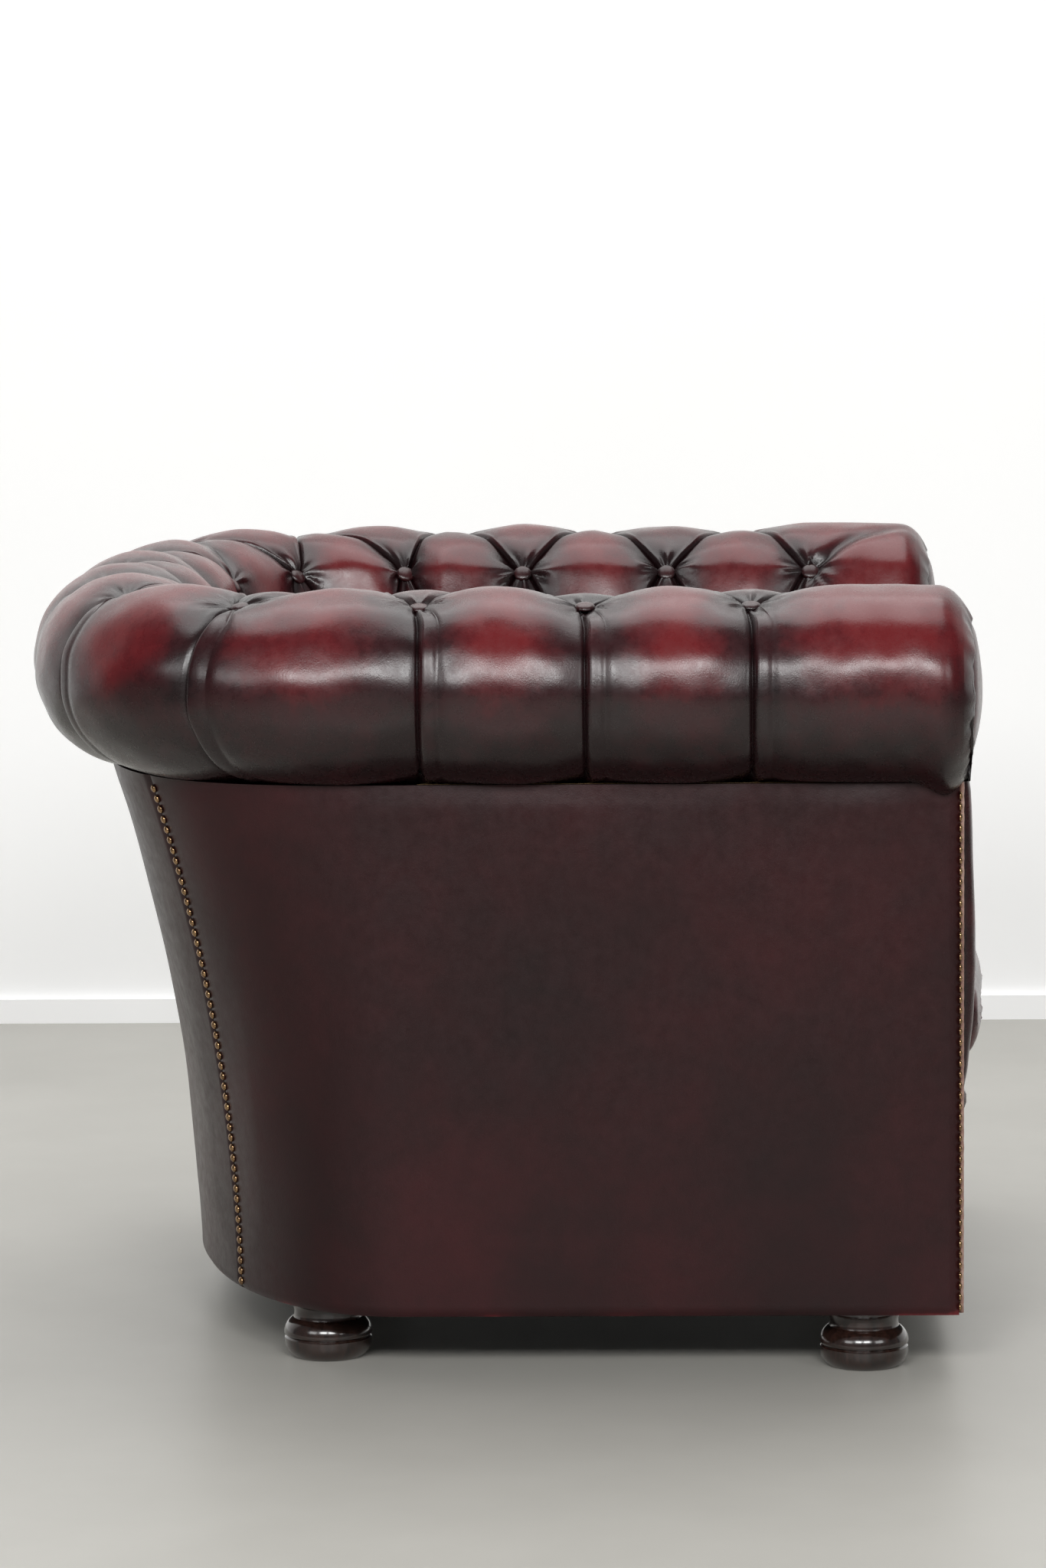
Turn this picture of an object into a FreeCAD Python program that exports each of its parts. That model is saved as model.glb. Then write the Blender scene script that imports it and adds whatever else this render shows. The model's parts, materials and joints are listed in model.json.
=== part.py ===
import FreeCAD, Part
import math
import os

# Deep buttoned club armchair with a rolled tub back.
# Millimetres. The front faces -Y, the sitter's right is -X, Z is up, and Z = 0 is the floor.
# The origin is under the middle of the chair's outer box.

# Plan of the roll, the leather tube that runs along the arms and round the back
axis_x = 415.0
straight_end_y = 103.0
tub_depth = 270.0
tub_squareness = 3.0
arm_front_y = -423.0
rim_length = 21.0
rim_ease = 4.0
rim_draw = 14.0
rim_share = 0.65

# Roll and inside face of the leather
roll_radius = 95.0
roll_axis_z = 643.0
roll_crown = 1.0
seam_x = 20.0
seam_z = 557.0
inside_x = 265.0
inside_back_y = 143.0
inside_turn_y = 78.0
inside_squareness = 4.0
fan = 1.85
belly_z = 430.0
leather_in = 5.0
foot_in = 9.0

# Buttoning
button_pitch = 152.6
arm_buttons = 6
joint_button = 3
top_row_angle = 15.0
crest_angle = -19.0
side_row_angle = -53.0
inner_row_z = 575.0
inner_row_lean = 0.38
inner_row_angle = -78.0
tuft_sink = 17.0
pleat_sink = 5.0
inner_sink = 15.0
belly_sink = 8.0
foot_sink = 5.0
crease_sink = 7.0
inner_bulge = 2.0
inner_bulge_drop = 3.0
crest_ease = 1.0
tuft_sharpness = 0.8
button_radius = 9.5
button_height = 6.0
button_bed = 0.5

# Layers under the leather
core_radius = 68.0
core_drop = 15.0
core_in = 4.0
core_out = 2.0
core_flat = 2.0
core_bend = 0.7
core_tuck_out = 57.0
core_tuck_down = 51.0
core_gap = 0.5
inside_padding = 87.5
fit_gap = 0.5
board_in = 62.0
board_out = 50.0
board_bottom_z = 615.0
board_thickness = 25.0
rail_out = 13.5
outer_rail_width = 21.0
outer_rail_z = 540.0

# Outside panels
panel_thickness = 6.0
base_z = 56.0
back_lean = 57.0
base_squareness = 2.0
back_hollow = 18.0
nail_line_k = 2.2
nail_inset = 6.0
nail_pitch = 10.0
nail_count = 49
nail_start_z = 64.0
nail_head_radius = 4.0
nail_head_height = 2.6
nail_shank_radius = 0.8
nail_shank_length = 12.0
nail_gap = 0.05

# Beech frame
dust_cover_thickness = 1.5
rail_height = 130.0
rail_thickness = 28.0
rail_clearance = 3.0
corner_end_k = 1.25
post_depth = 40.0
post_gap = 1.0
scroll_board_thickness = 6.0
tack_rail_thickness = 22.0
tack_rail_height = 40.0
tack_rail_lift = 64.5
back_rail_end_k = 1.5
plank_width = 40.0
plank_gap = 3.5
plank_clearance = 2.0
upright_k = 0.8
strap_width = 50.0
strap_thickness = 1.2
strap_gap = 1.0
strap_step_k = 0.8
arm_strap_count = 4
back_strap_count = 4
strap_overlap = 4.0
block_leg = 90.0
block_height = 40.0
block_reach = 55.0
block_start_k = 2.0
block_end_k = 3.5
spring_rail_y = 205.0
spring_rail_thickness = 24.0

# Seat
deck_lift = 18.5
deck_thickness = 44.0
spring_lift = 4.0
clip_half_length = 5.0
clip_over_wire = 1.5
clip_bore_gap = 0.1
deck_gap = 1.0
deck_side_gap = 1.5
spring_wire = 3.8
spring_half_width = 22.0
spring_step = 27.0
spring_spacing = 95.0
spring_count = 5
cushion_gap = 0.3
cushion_side_gap = 3.0
cushion_front_y = -468.0
cushion_back_y = 122.0
cushion_height = 118.0
cushion_crown = 50.0
cushion_draw_in = 5.0
cushion_corner = 44.0
nose_height = 42.0
nose_depth = 58.0
nose_end_height = 30.0
nose_corner = 4.0
back_round = 60.0
back_low = 16.0
back_end_height = 71.0
cushion_side_round = 12.0
cushion_side_share = 0.2
cushion_fullness = 0.6
crown_least = 2.0
cushion_sections = 12
cover_thickness = 2.0
cover_gap = 0.4
zip_half_length = 190.0
zip_lift = 55.0
zip_tape_half_width = 8.0
zip_tape_margin = 15.0
zip_tape_thickness = 0.8
zip_teeth_half_width = 2.0
zip_teeth_margin = 8.0
zip_teeth_thickness = 1.2
slider_gap = 0.3
slider_half_length = 6.0
slider_half_width = 5.0
slider_thickness = 2.2
tab_half_width = 3.0
tab_drop = 24.0
tab_rise = 3.0
tab_thickness = 1.5

# Front
facing_thickness = 16.0
facing_edge = 5.0
facing_x = 8.0
facing_inset = 30.0
facing_flat_share = 0.55
facing_edge_share = 0.9
piping_radius = 2.2
border_thickness = 12.0
border_lip = 13.0
border_side_gap = 2.0
border_nose = 4.0
border_turn = 5.0
border_tail = 12.0

# Feet
foot_height = 56.0
foot_radius = 42.0
foot_sole_in = 9.0
foot_bead_z = 18.5
foot_bead_in = 0.6
foot_groove_z = 20.7
foot_groove_in = 2.4
foot_bulb_z = 23.5
foot_neck_z = 38.0
foot_neck_in = 9.0
foot_collar_z = 52.0
foot_collar_in = 5.5
sole_bulge = 3.0
bead_bulge = 0.8
bulb_bulge = 2.3
cove_bulge = 2.2
front_foot_in = 50.0
front_foot_back = 87.0
rear_foot_in = 57.7
rear_foot_angle = 26.4
bolt_radius = 4.0
bolt_gap = 0.1
bolt_start_z = 16.0
bolt_end_gap = 0.2
bolt_rise = 3.0
nut_radius = 5.2
nut_length = 10.0
nut_flange = 11.0
nut_flange_thickness = 1.5

base_depth = tub_depth - back_lean
front_foot_x = axis_x + seam_x - front_foot_in
front_foot_y = arm_front_y + front_foot_back
rear_foot_x = (axis_x + seam_x - rear_foot_in) * math.cos(math.radians(rear_foot_angle))
rear_foot_y = straight_end_y + (base_depth - rear_foot_in) * math.sin(math.radians(rear_foot_angle))

rail_z = base_z + dust_cover_thickness
rail_top_z = rail_z + rail_height
board_top_z = board_bottom_z + board_thickness
tack_rail_z = rail_top_z + tack_rail_lift
deck_bottom_z = rail_top_z + deck_lift
deck_top_z = deck_bottom_z + deck_thickness
leather_bottom_z = deck_top_z
rest_z = deck_top_z + cushion_gap
zip_z = deck_top_z + zip_lift
post_in = board_in - post_gap
rail_face = rail_out - fit_gap
board_front_y = arm_front_y + scroll_board_thickness
PARTS = {}


def vec(x, y, z):
    return FreeCAD.Vector(x, y, z)


def box(x0, x1, y0, y1, z0, z1):
    return Part.makeBox(x1 - x0, y1 - y0, z1 - z0, vec(x0, y0, z0))


def mirrored(shape):
    return shape.mirror(vec(0, 0, 0), vec(1, 0, 0))


def write(name, shape):
    PARTS[name] = shape
    shape.exportStep(f"parts/{name}.step")


def write_pair(name, shape):
    # shape is the sitter's right side, at -X
    write(f"{name}_right", shape)
    write(f"{name}_left", mirrored(shape))


# Plan curves

def oval_point(a, b, squareness, turn):
    # a quarter oval from (a, 0) to (0, b) as turn goes from 0 to 90 degrees
    t = math.radians(turn)
    return a * math.cos(t) ** (2 / squareness), b * math.sin(t) ** (2 / squareness)


def oval_path(a, b, squareness, steps=720):
    # points of the quarter oval from its middle (0, b), each with the length run so far
    path = [(0.0, 0.0, b)]
    for i in range(1, steps + 1):
        x, y = oval_point(a, b, squareness, max(0.0, 90 - 90 * i / steps))
        length, x0, y0 = path[-1]
        path.append((length + math.hypot(x - x0, y - y0), x, y))
    return path


def along(path, length):
    for (l0, x0, y0), (l1, x1, y1) in zip(path, path[1:]):
        if length <= l1:
            f = (length - l0) / (l1 - l0)
            return x0 + f * (x1 - x0), y0 + f * (y1 - y0)
    return path[-1][1], path[-1][2]


ROLL_PATH = oval_path(axis_x, tub_depth, tub_squareness)
INSIDE_PATH = oval_path(inside_x, inside_back_y - inside_turn_y, inside_squareness)
ROLL_QUARTER = ROLL_PATH[-1][0]
INSIDE_QUARTER = INSIDE_PATH[-1][0]
TURN_K = (ROLL_QUARTER + straight_end_y - inside_turn_y) / button_pitch


def k_at(y):
    # the station of a straight arm at a place along Y, counted in buttons from the middle of the back
    return (ROLL_QUARTER + straight_end_y - y) / button_pitch


FRONT_K = k_at(arm_front_y)


class Station:
    # A vertical section of the chair. k counts buttons from the middle of the back, positive to the
    # sitter's right. Offsets run outward from the roll's centre line.
    def __init__(self, k):
        self.k = abs(k)
        side = -1.0 if k >= 0 else 1.0
        length = self.k * button_pitch
        if length <= ROLL_QUARTER:
            x, y = along(ROLL_PATH, length)
            nx = (max(x, 0.0) / axis_x) ** (tub_squareness - 1) / axis_x
            ny = (max(y, 0.0) / tub_depth) ** (tub_squareness - 1) / tub_depth
            size = math.hypot(nx, ny)
            nx, ny = nx / size, ny / size
            y += straight_end_y
        else:
            x, y = axis_x, straight_end_y - (length - ROLL_QUARTER)
            nx, ny = 1.0, 0.0
        if self.k >= TURN_K:
            qx, qy = inside_x, y
        else:
            share = 1 - (1 - self.k / TURN_K) ** fan
            qx, qy = along(INSIDE_PATH, share * INSIDE_QUARTER)
            qy += inside_turn_y
        reach = math.hypot(x - qx, y - qy)
        ux, uy = (x - qx) / reach, (y - qy) / reach
        self.x, self.y = side * x, y
        self.ux, self.uy = side * ux, uy
        self.stretch = 1 / (ux * nx + uy * ny)
        self.inside = reach / self.stretch

    def point(self, r, z):
        # r is the offset square to the centre line, so it is stretched along a slanted section
        return vec(self.x + self.ux * r * self.stretch, self.y + self.uy * r * self.stretch, z)

    def base_offset(self):
        low, high = -base_depth, panel_thickness + seam_x
        for _ in range(40):
            r = (low + high) / 2
            p = self.point(r, 0)
            y = max(p.y - straight_end_y, 0.0)
            far = (abs(p.x) / axis_side()) ** base_squareness + (y / base_depth) ** base_squareness
            if far > 1:
                high = r
            else:
                low = r
        return (low + high) / 2

    def panel(self, z):
        # offset of the outside panel's face at a height; hollow where it leans
        low = self.base_offset()
        t = (z - base_z) / (seam_z - fit_gap - base_z)
        lean = seam_x - low
        hollow = back_hollow * lean / (seam_x + back_lean)
        return low + lean * t - 4 * hollow * t * (1 - t)

    def frame_line(self, z):
        # offset of the frame's inner side, where the foam begins
        low = self.inside - inside_padding
        t = (board_top_z - z) / (board_top_z - leather_bottom_z)
        return -(board_in + fit_gap) - (low - board_in - fit_gap) * t


def axis_side():
    return axis_x + seam_x


# Wires of lines and arcs

def edge(a, m, b):
    chord = b.sub(a)
    off = m.sub(a).cross(chord).Length / chord.Length
    if off < 0.02:
        return Part.LineSegment(a, b).toShape()
    return Part.Arc(a, m, b).toShape()


def closed_wire(points, arcs):
    # points in order; arcs gives the middle point of the edge that starts at an index
    edges = []
    for i, a in enumerate(points):
        b = points[(i + 1) % len(points)]
        if i in arcs:
            edges.append(edge(a, arcs[i], b))
        else:
            edges.append(Part.LineSegment(a, b).toShape())
    return Part.Wire(edges)


def ruled(wires):
    solid = Part.makeLoft(wires, True, True)
    if solid.Volume < 0:
        solid.reverse()
    return solid


def prism(points, z0, z1):
    # points are (x, y) of a closed plan outline
    wire = Part.makePolygon([vec(x, y, z0) for x, y in points] + [vec(*points[0], z0)])
    return Part.Face(wire).extrude(vec(0, 0, z1 - z0))


# Tufted leather

def between(k, offset, last):
    # 0 at a button, 1 half way between two, and 1 past the last button
    if k > last + 0.5:
        return 1.0
    return abs(math.sin(math.pi * (k - offset))) ** tuft_sharpness


def on_roll(radius, angle):
    a = math.radians(angle)
    return radius * math.sin(a), roll_axis_z + radius * math.cos(a)


def contour(station, rim=0.0):
    # corners and middles of the leather's outer line, from the seam over the roll to the seat
    k = station.k
    top = between(k, 0.0, arm_buttons)
    side = between(k, 0.5, arm_buttons + 0.5)
    crease = abs(math.sin(2 * math.pi * k)) if k < arm_buttons + 0.5 else 0.0
    crest = roll_radius + roll_crown - rim
    belly = station.inside - leather_in - rim
    row = roll_radius + (station.inside - roll_radius) * inner_row_lean - rim
    seam = (seam_x, seam_z)
    outer = on_roll(roll_radius - rim - pleat_sink * (1 - top), 90)
    button = on_roll(crest - tuft_sink * (1 - top), top_row_angle)
    upper = on_roll(crest - crest_ease - crease_sink * crease, crest_angle)
    mid_button = on_roll(crest - tuft_sink * (1 - side), side_row_angle)
    lower = (-(crest + inner_bulge - crease_sink * crease), roll_axis_z - inner_bulge_drop)
    inner_button = (-(row - inner_sink * (1 - top)), inner_row_z)
    swell = (-(belly - belly_sink * (1 - top)), belly_z)
    foot = (-(station.inside - foot_in - rim - foot_sink * (1 - top)), leather_bottom_z)
    corners = [seam, button, mid_button, inner_button, foot]
    middles = [outer, upper, lower, swell]
    return corners, middles


def core_line(station, gap=0.0):
    # line between the wadding and the foam, from the seat up and over to the outside
    c = 1 - gap / core_radius
    inner = station.inside - facing_inset - gap
    top = core_radius - core_flat
    row = top + (station.inside - roll_radius) * inner_row_lean - gap
    shoulder_z = roll_axis_z + core_bend * top * c
    corners = [(-inner, leather_bottom_z + gap), (-inner, belly_z),
               (-(core_radius + core_in) * c, roll_axis_z), (0.0, roll_axis_z + top * c),
               ((core_radius + core_out) * c, roll_axis_z),
               (rail_out + fit_gap, seam_z + core_drop + gap)]
    middles = {1: (-row, inner_row_z), 2: (core_bend * corners[2][0], shoulder_z),
               3: (core_bend * corners[4][0], shoulder_z),
               4: (core_tuck_out * c, roll_axis_z - core_tuck_down * c)}
    return corners, middles


def leather_wire(station, rim=0.0, shift=0.0):
    corners, middles = contour(station, rim)
    core, core_middles = core_line(station)
    back = list(reversed(core))
    tail = [(rail_out + fit_gap, seam_z)]
    points = corners + core + tail
    arcs = dict(enumerate(middles))
    for i, m in core_middles.items():
        arcs[len(corners) + i] = m
    move = vec(0, -shift, 0)
    placed = [station.point(r, z).add(move) for r, z in points]
    return closed_wire(placed, {i: station.point(*m).add(move) for i, m in arcs.items()})


def foam_wire(station):
    core, middles = core_line(station, core_gap)
    frame = [(rail_out + fit_gap, board_bottom_z - fit_gap),
             (board_out + fit_gap, board_bottom_z - fit_gap),
             (board_out + fit_gap, board_top_z + fit_gap),
             (-(board_in + fit_gap), board_top_z + fit_gap),
             (station.frame_line(leather_bottom_z), leather_bottom_z + core_gap)]
    points = core + frame
    placed = [station.point(r, z) for r, z in points]
    return closed_wire(placed, {i: station.point(*m) for i, m in middles.items()})


def steps(k0, k1, step=0.25):
    # stations at every quarter of the button pitch, and at both ends
    first = math.floor(k0 / step) + 1
    last = math.ceil(k1 / step) - 1
    return [k0] + [step * i for i in range(first, last + 1)] + [k1]


def make_leather():
    front = Station(FRONT_K)
    ks = steps(joint_button, arm_buttons + 1)
    wires = [leather_wire(Station(k)) for k in ks]
    wires.append(leather_wire(front))
    wires.append(leather_wire(front, rim_ease, rim_length * rim_share))
    wires.append(leather_wire(front, rim_draw, rim_length))
    write_pair("arm_leather", ruled(wires))
    back = [leather_wire(Station(k)) for k in steps(-joint_button, joint_button)]
    write("back_leather", ruled(back))


def make_foam():
    front = Station(k_at(arm_front_y + scroll_board_thickness))
    wires = [foam_wire(Station(k)) for k in steps(joint_button, TURN_K)] + [foam_wire(front)]
    write_pair("arm_foam", ruled(wires))
    back = [foam_wire(Station(k)) for k in steps(-joint_button, joint_button)]
    write("back_foam", ruled(back))


# Buttons

def button_at(place, normal):
    # a low covered dome, its flat back bedded in the leather
    r = (button_radius ** 2 + button_height ** 2) / (2 * button_height)
    ball = Part.makeSphere(r, vec(0, 0, button_height - r))
    dome = ball.common(box(-r, r, -r, r, 0, button_height + 1))
    turn = FreeCAD.Rotation(vec(0, 0, 1), normal)
    dome.Placement = FreeCAD.Placement(place.sub(normal * button_bed), turn)
    return dome


def row_buttons(first, last, offset):
    # buttons of the three rows from one station to another, inclusive of the first
    found = []
    for i in range(first, last + 1):
        for row in ("top", "side", "inner"):
            k = i + offset if row == "side" else float(i)
            s = Station(k)
            corners, _ = contour(s)
            index, angle = {"top": (1, top_row_angle), "side": (2, side_row_angle),
                            "inner": (3, inner_row_angle)}[row]
            r, z = corners[index]
            a = math.radians(angle)
            normal = vec(s.ux * math.sin(a), s.uy * math.sin(a), math.cos(a))
            found.append(button_at(s.point(r, z), normal))
    return found


def make_buttons():
    arm = row_buttons(joint_button + 1, arm_buttons, 0.5)
    arm += row_buttons(joint_button, joint_button, 0.5)[1:2]
    write_pair("arm_buttons", Part.makeCompound(arm))
    back = row_buttons(-joint_button, -1, 0.5) + row_buttons(0, joint_button - 1, 0.5)
    last = row_buttons(joint_button, joint_button, 0.5)
    write("back_buttons", Part.makeCompound(back + [last[0], last[2]]))


# Outside panels and nails

def panel_wire(station):
    top_z = seam_z - fit_gap
    mid_z = (base_z + top_z) / 2
    heights = (base_z, mid_z, top_z)
    outer = [station.point(station.panel(z), z) for z in heights]
    inner = [station.point(station.panel(z) - panel_thickness, z) for z in heights]
    edges = [edge(*outer), Part.LineSegment(outer[2], inner[2]).toShape(),
             edge(inner[2], inner[1], inner[0]), Part.LineSegment(inner[0], outer[0]).toShape()]
    return Part.Wire(edges)


def make_panels():
    ks = steps(nail_line_k, TURN_K) + [FRONT_K]
    write_pair("outside_arm", ruled([panel_wire(Station(k)) for k in ks]))
    ks = steps(-nail_line_k, nail_line_k)
    write("outside_back", ruled([panel_wire(Station(k)) for k in ks]))


def nail():
    # a dome head on a short shank, the head's flat back on Z = 0
    r = (nail_head_radius ** 2 + nail_head_height ** 2) / (2 * nail_head_height)
    ball = Part.makeSphere(r, vec(0, 0, nail_head_height - r))
    head = ball.common(box(-r, r, -r, r, 0, nail_head_height + 1))
    shank = Part.makeCylinder(nail_shank_radius, nail_shank_length, vec(0, 0, -nail_shank_length))
    return head.fuse(shank)


def make_nails():
    one = nail()
    rear = []
    station = Station(nail_line_k + nail_inset / button_pitch)
    for i in range(nail_count):
        z = nail_start_z + nail_pitch * i
        slope = (station.panel(z + 1) - station.panel(z - 1)) / 2
        normal = vec(station.ux, station.uy, -slope)
        normal.normalize()
        copy = one.copy()
        place = station.point(station.panel(z) + nail_gap, z)
        copy.Placement = FreeCAD.Placement(place, FreeCAD.Rotation(vec(0, 0, 1), normal))
        rear.append(copy)
    write_pair("rear_nails", Part.makeCompound(rear))
    front = []
    for i in range(nail_count):
        copy = one.copy()
        place = vec(-(axis_side() - panel_thickness / 2), arm_front_y, nail_start_z + nail_pitch * i)
        copy.Placement = FreeCAD.Placement(place, FreeCAD.Rotation(vec(0, 0, 1), vec(0, -1, 0)))
        front.append(copy)
    write_pair("front_nails", Part.makeCompound(front))


# Arm fronts

def front_outline(y, gap, outer, z0):
    # the scroll and its column, seen from the front
    core, middles = core_line(Station(FRONT_K), gap)
    points = [(core[0][0], z0)] + core[1:] + [(outer, core[-1][1]), (outer, z0)]
    place = lambda p: vec(-(axis_x + p[0]), y, p[1])
    return closed_wire([place(p) for p in points], {i: place(m) for i, m in middles.items()})


def make_arm_fronts():
    y = arm_front_y
    board = Part.Face(front_outline(y, fit_gap, rail_out, rail_z))
    write_pair("scroll_board", board.extrude(vec(0, scroll_board_thickness, 0)))
    outlines = []
    for share, inset in ((0.0, 0.0), (facing_flat_share, 0.0), (facing_edge_share, facing_edge / 2),
                         (1.0, facing_edge)):
        front = y - facing_thickness * share
        outlines.append(front_outline(front, fit_gap + inset, facing_x - inset, rail_z))
    write_pair("scroll_facing", ruled(outlines))
    tube_x = -(axis_x + facing_x + fit_gap + piping_radius)
    tube = Part.makeCylinder(piping_radius, seam_z - rail_z, vec(tube_x, y - piping_radius, rail_z))
    write_pair("front_piping", tube)


# Beech frame

def arm_box(r0, r1, y0, y1, z0, z1):
    # a box on the sitter's right, r outward from the roll's centre line
    return box(-(axis_x + r1), -(axis_x + r0), y0, y1, z0, z1)


def plan_strip(k0, k1, inner, outer, z0, z1):
    # a strip along the horseshoe; inner and outer give offsets at a station
    stations = [Station(k) for k in steps(k0, k1)]
    out = [s.point(outer(s), 0) for s in stations]
    back = [s.point(inner(s), 0) for s in reversed(stations)]
    return prism([(p.x, p.y) for p in out + back], z0, z1)


def rail_outer(station):
    return station.base_offset() - panel_thickness - rail_clearance


def plank_wire(station):
    # section of an upright board behind the panel, from the seat rails to the top board
    low, high = rail_top_z, seam_z
    gap = panel_thickness + plank_gap
    foot = station.frame_line(leather_bottom_z) + plank_clearance
    line = [(foot, low), (foot, leather_bottom_z),
            (station.frame_line(board_bottom_z) + plank_clearance, board_bottom_z),
            (station.panel(high) - gap, board_bottom_z), (station.panel(high) - gap, high),
            (station.panel(low) - gap, low)]
    mid = (low + high) / 2
    points = [station.point(r, z) for r, z in line]
    return closed_wire(points, {4: station.point(station.panel(mid) - gap, mid)})


def across(k, width):
    # the two stations that are a width apart, either side of k
    half = width / 2 / button_pitch
    return Station(k - half), Station(k + half)


def plank(k):
    return ruled([plank_wire(s) for s in across(k, plank_width)])


def make_frame():
    post_back = board_front_y + post_depth
    post = arm_box(-post_in, rail_face, board_front_y, post_back, rail_z, board_bottom_z)
    write_pair("front_post", post)
    rear = inside_turn_y
    stump = arm_box(-post_in, rail_face, rear - post_depth, rear, rail_top_z, board_bottom_z)
    write_pair("arm_post", stump)
    side = arm_box(rail_face - rail_thickness, rail_face, post_back, rear, rail_z, rail_top_z)
    write_pair("side_rail", side)
    board = arm_box(-board_in, board_out, board_front_y, rear, board_bottom_z, board_top_z)
    write_pair("arm_board", board)
    rail = arm_box(-post_in, -post_in + tack_rail_thickness, post_back, rear - post_depth,
                   tack_rail_z, tack_rail_z + tack_rail_height)
    write("arm_tack_rails", Part.makeCompound([rail, mirrored(rail)]))
    tack = arm_box(rail_face - outer_rail_width, rail_face, post_back, rear - post_depth,
                   outer_rail_z, board_bottom_z)
    write("outside_rails", Part.makeCompound([tack, mirrored(tack)]))
    half = axis_x - post_in
    front = box(-half, half, board_front_y, board_front_y + rail_thickness, rail_z, rail_top_z)
    write("front_rail", front)
    make_back_frame()
    make_webbing(post_back, rear - post_depth)


def rail_inner(station):
    return rail_outer(station) - rail_thickness


def tack_inner(station):
    # the inner side of the back tacking rail, behind the straps
    return station.frame_line(tack_rail_z + tack_rail_height) + strap_gap + strap_thickness + fit_gap


def tack_outer(station):
    return tack_inner(station) + tack_rail_thickness


def make_back_frame():
    board_strip = plan_strip(-TURN_K, TURN_K, lambda s: -board_in, lambda s: board_out,
                             board_bottom_z, board_top_z)
    write("back_board", board_strip)
    corner = plan_strip(corner_end_k, TURN_K, rail_inner, rail_outer, rail_z, rail_top_z)
    write_pair("corner_rail", corner)
    write("back_rail", plan_strip(-corner_end_k, corner_end_k, rail_inner, rail_outer, rail_z, rail_top_z))
    cross = box(-axis_x, axis_x, spring_rail_y, spring_rail_y + spring_rail_thickness, rail_z, rail_top_z)
    cross = cross.cut(corner).cut(mirrored(corner))
    write("spring_rail", max(cross.Solids, key=lambda s: s.Volume))
    tack_strip = plan_strip(-back_rail_end_k, back_rail_end_k, tack_inner, tack_outer,
                            tack_rail_z, tack_rail_z + tack_rail_height)
    write("back_tack_rail", tack_strip)
    uprights = [plank(k).cut(tack_strip) for k in (-upright_k, upright_k)]
    write("back_uprights", Part.makeCompound(uprights))
    write_pair("back_post", plank(nail_line_k))


def make_webbing(y0, y1):
    straps = []
    spacing = (y1 - y0) / arm_strap_count
    for i in range(arm_strap_count):
        y = y0 + spacing * (i + 0.5)
        straps.append(arm_box(-post_in - strap_thickness, -post_in, y - strap_width / 2, y + strap_width / 2,
                              tack_rail_z + strap_overlap, board_bottom_z - fit_gap))
    write("arm_webbing", Part.makeCompound(straps + [mirrored(s) for s in straps]))
    back = []
    for i in range(back_strap_count):
        k = strap_step_k * (i - (back_strap_count - 1) / 2)
        back.append(ruled([strap_wire(s) for s in across(k, strap_width)]))
    write("back_webbing", Part.makeCompound(back))


def strap_wire(station):
    # section of a strap that leans with the back
    low, high = tack_rail_z + strap_overlap, board_bottom_z - fit_gap
    line = [(low, strap_gap), (high, strap_gap),
            (high, strap_gap + strap_thickness), (low, strap_gap + strap_thickness)]
    return closed_wire([station.point(station.frame_line(z) + out, z) for z, out in line], {})


# Feet, blocks and dust cover

FEET = {"front_foot_right": (-front_foot_x, front_foot_y), "front_foot_left": (front_foot_x, front_foot_y),
        "rear_foot_right": (-rear_foot_x, rear_foot_y), "rear_foot_left": (rear_foot_x, rear_foot_y)}


def bulged(a, b, out):
    # the middle of a line in the foot's section, pushed out square to it
    along_line = b.sub(a)
    square = vec(along_line.z, 0, -along_line.x)
    return (a + b) * 0.5 + square * (out / along_line.Length)


def foot_profile():
    # half section of the turned bun: sole, bead, groove, bulb, cove neck and flared collar
    h = foot_height
    r = foot_radius
    sole = vec(r - foot_sole_in, 0, 0)
    bead = vec(r - foot_bead_in, 0, foot_bead_z)
    groove = vec(r - foot_groove_in, 0, foot_groove_z)
    bulb = vec(r, 0, foot_bulb_z)
    neck = vec(r - foot_neck_in, 0, foot_neck_z)
    collar = vec(r - foot_collar_in, 0, foot_collar_z)
    top = vec(r - foot_collar_in, 0, h)
    points = [vec(0, 0, 0), sole, bead, groove, bulb, neck, collar, top, vec(0, 0, h)]
    middles = {1: bulged(sole, bead, sole_bulge), 3: bulged(groove, bulb, bead_bulge),
               4: bulged(bulb, neck, bulb_bulge), 5: bulged(neck, collar, -cove_bulge)}
    return closed_wire(points, middles)


def make_feet():
    turned = Part.Face(foot_profile()).revolve(vec(0, 0, 0), vec(0, 0, 1), 360)
    bore_radius = bolt_radius + bolt_gap
    bore = Part.makeCylinder(bore_radius, foot_height - bolt_start_z, vec(0, 0, bolt_start_z))
    turned = turned.cut(bore)
    bolts = []
    nuts = []
    nut_z = rail_z + block_height
    low = bolt_start_z + bolt_end_gap
    for name, (x, y) in FEET.items():
        foot = turned.copy()
        foot.translate(vec(x, y, 0))
        write(name, foot)
        bolts.append(Part.makeCylinder(bolt_radius, nut_z + bolt_rise - low, vec(x, y, low)))
        barrel = Part.makeCylinder(nut_radius, nut_length, vec(x, y, nut_z - nut_length))
        flange = Part.makeCylinder(nut_flange, nut_flange_thickness, vec(x, y, nut_z))
        thread = Part.makeCylinder(bore_radius, 2 * nut_length, vec(x, y, nut_z - nut_length))
        nuts.append(barrel.fuse(flange).cut(thread))
    write("foot_bolts", Part.makeCompound(bolts))
    write("foot_nuts", Part.makeCompound(nuts))


def bolt_holes(z0, z1):
    holes = []
    for x, y in FEET.values():
        holes.append(Part.makeCylinder(nut_radius + bolt_gap, z1 - z0, vec(x, y, z0)))
    return Part.makeCompound(holes)


def block_inner(station):
    return rail_inner(station) - block_reach


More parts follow.
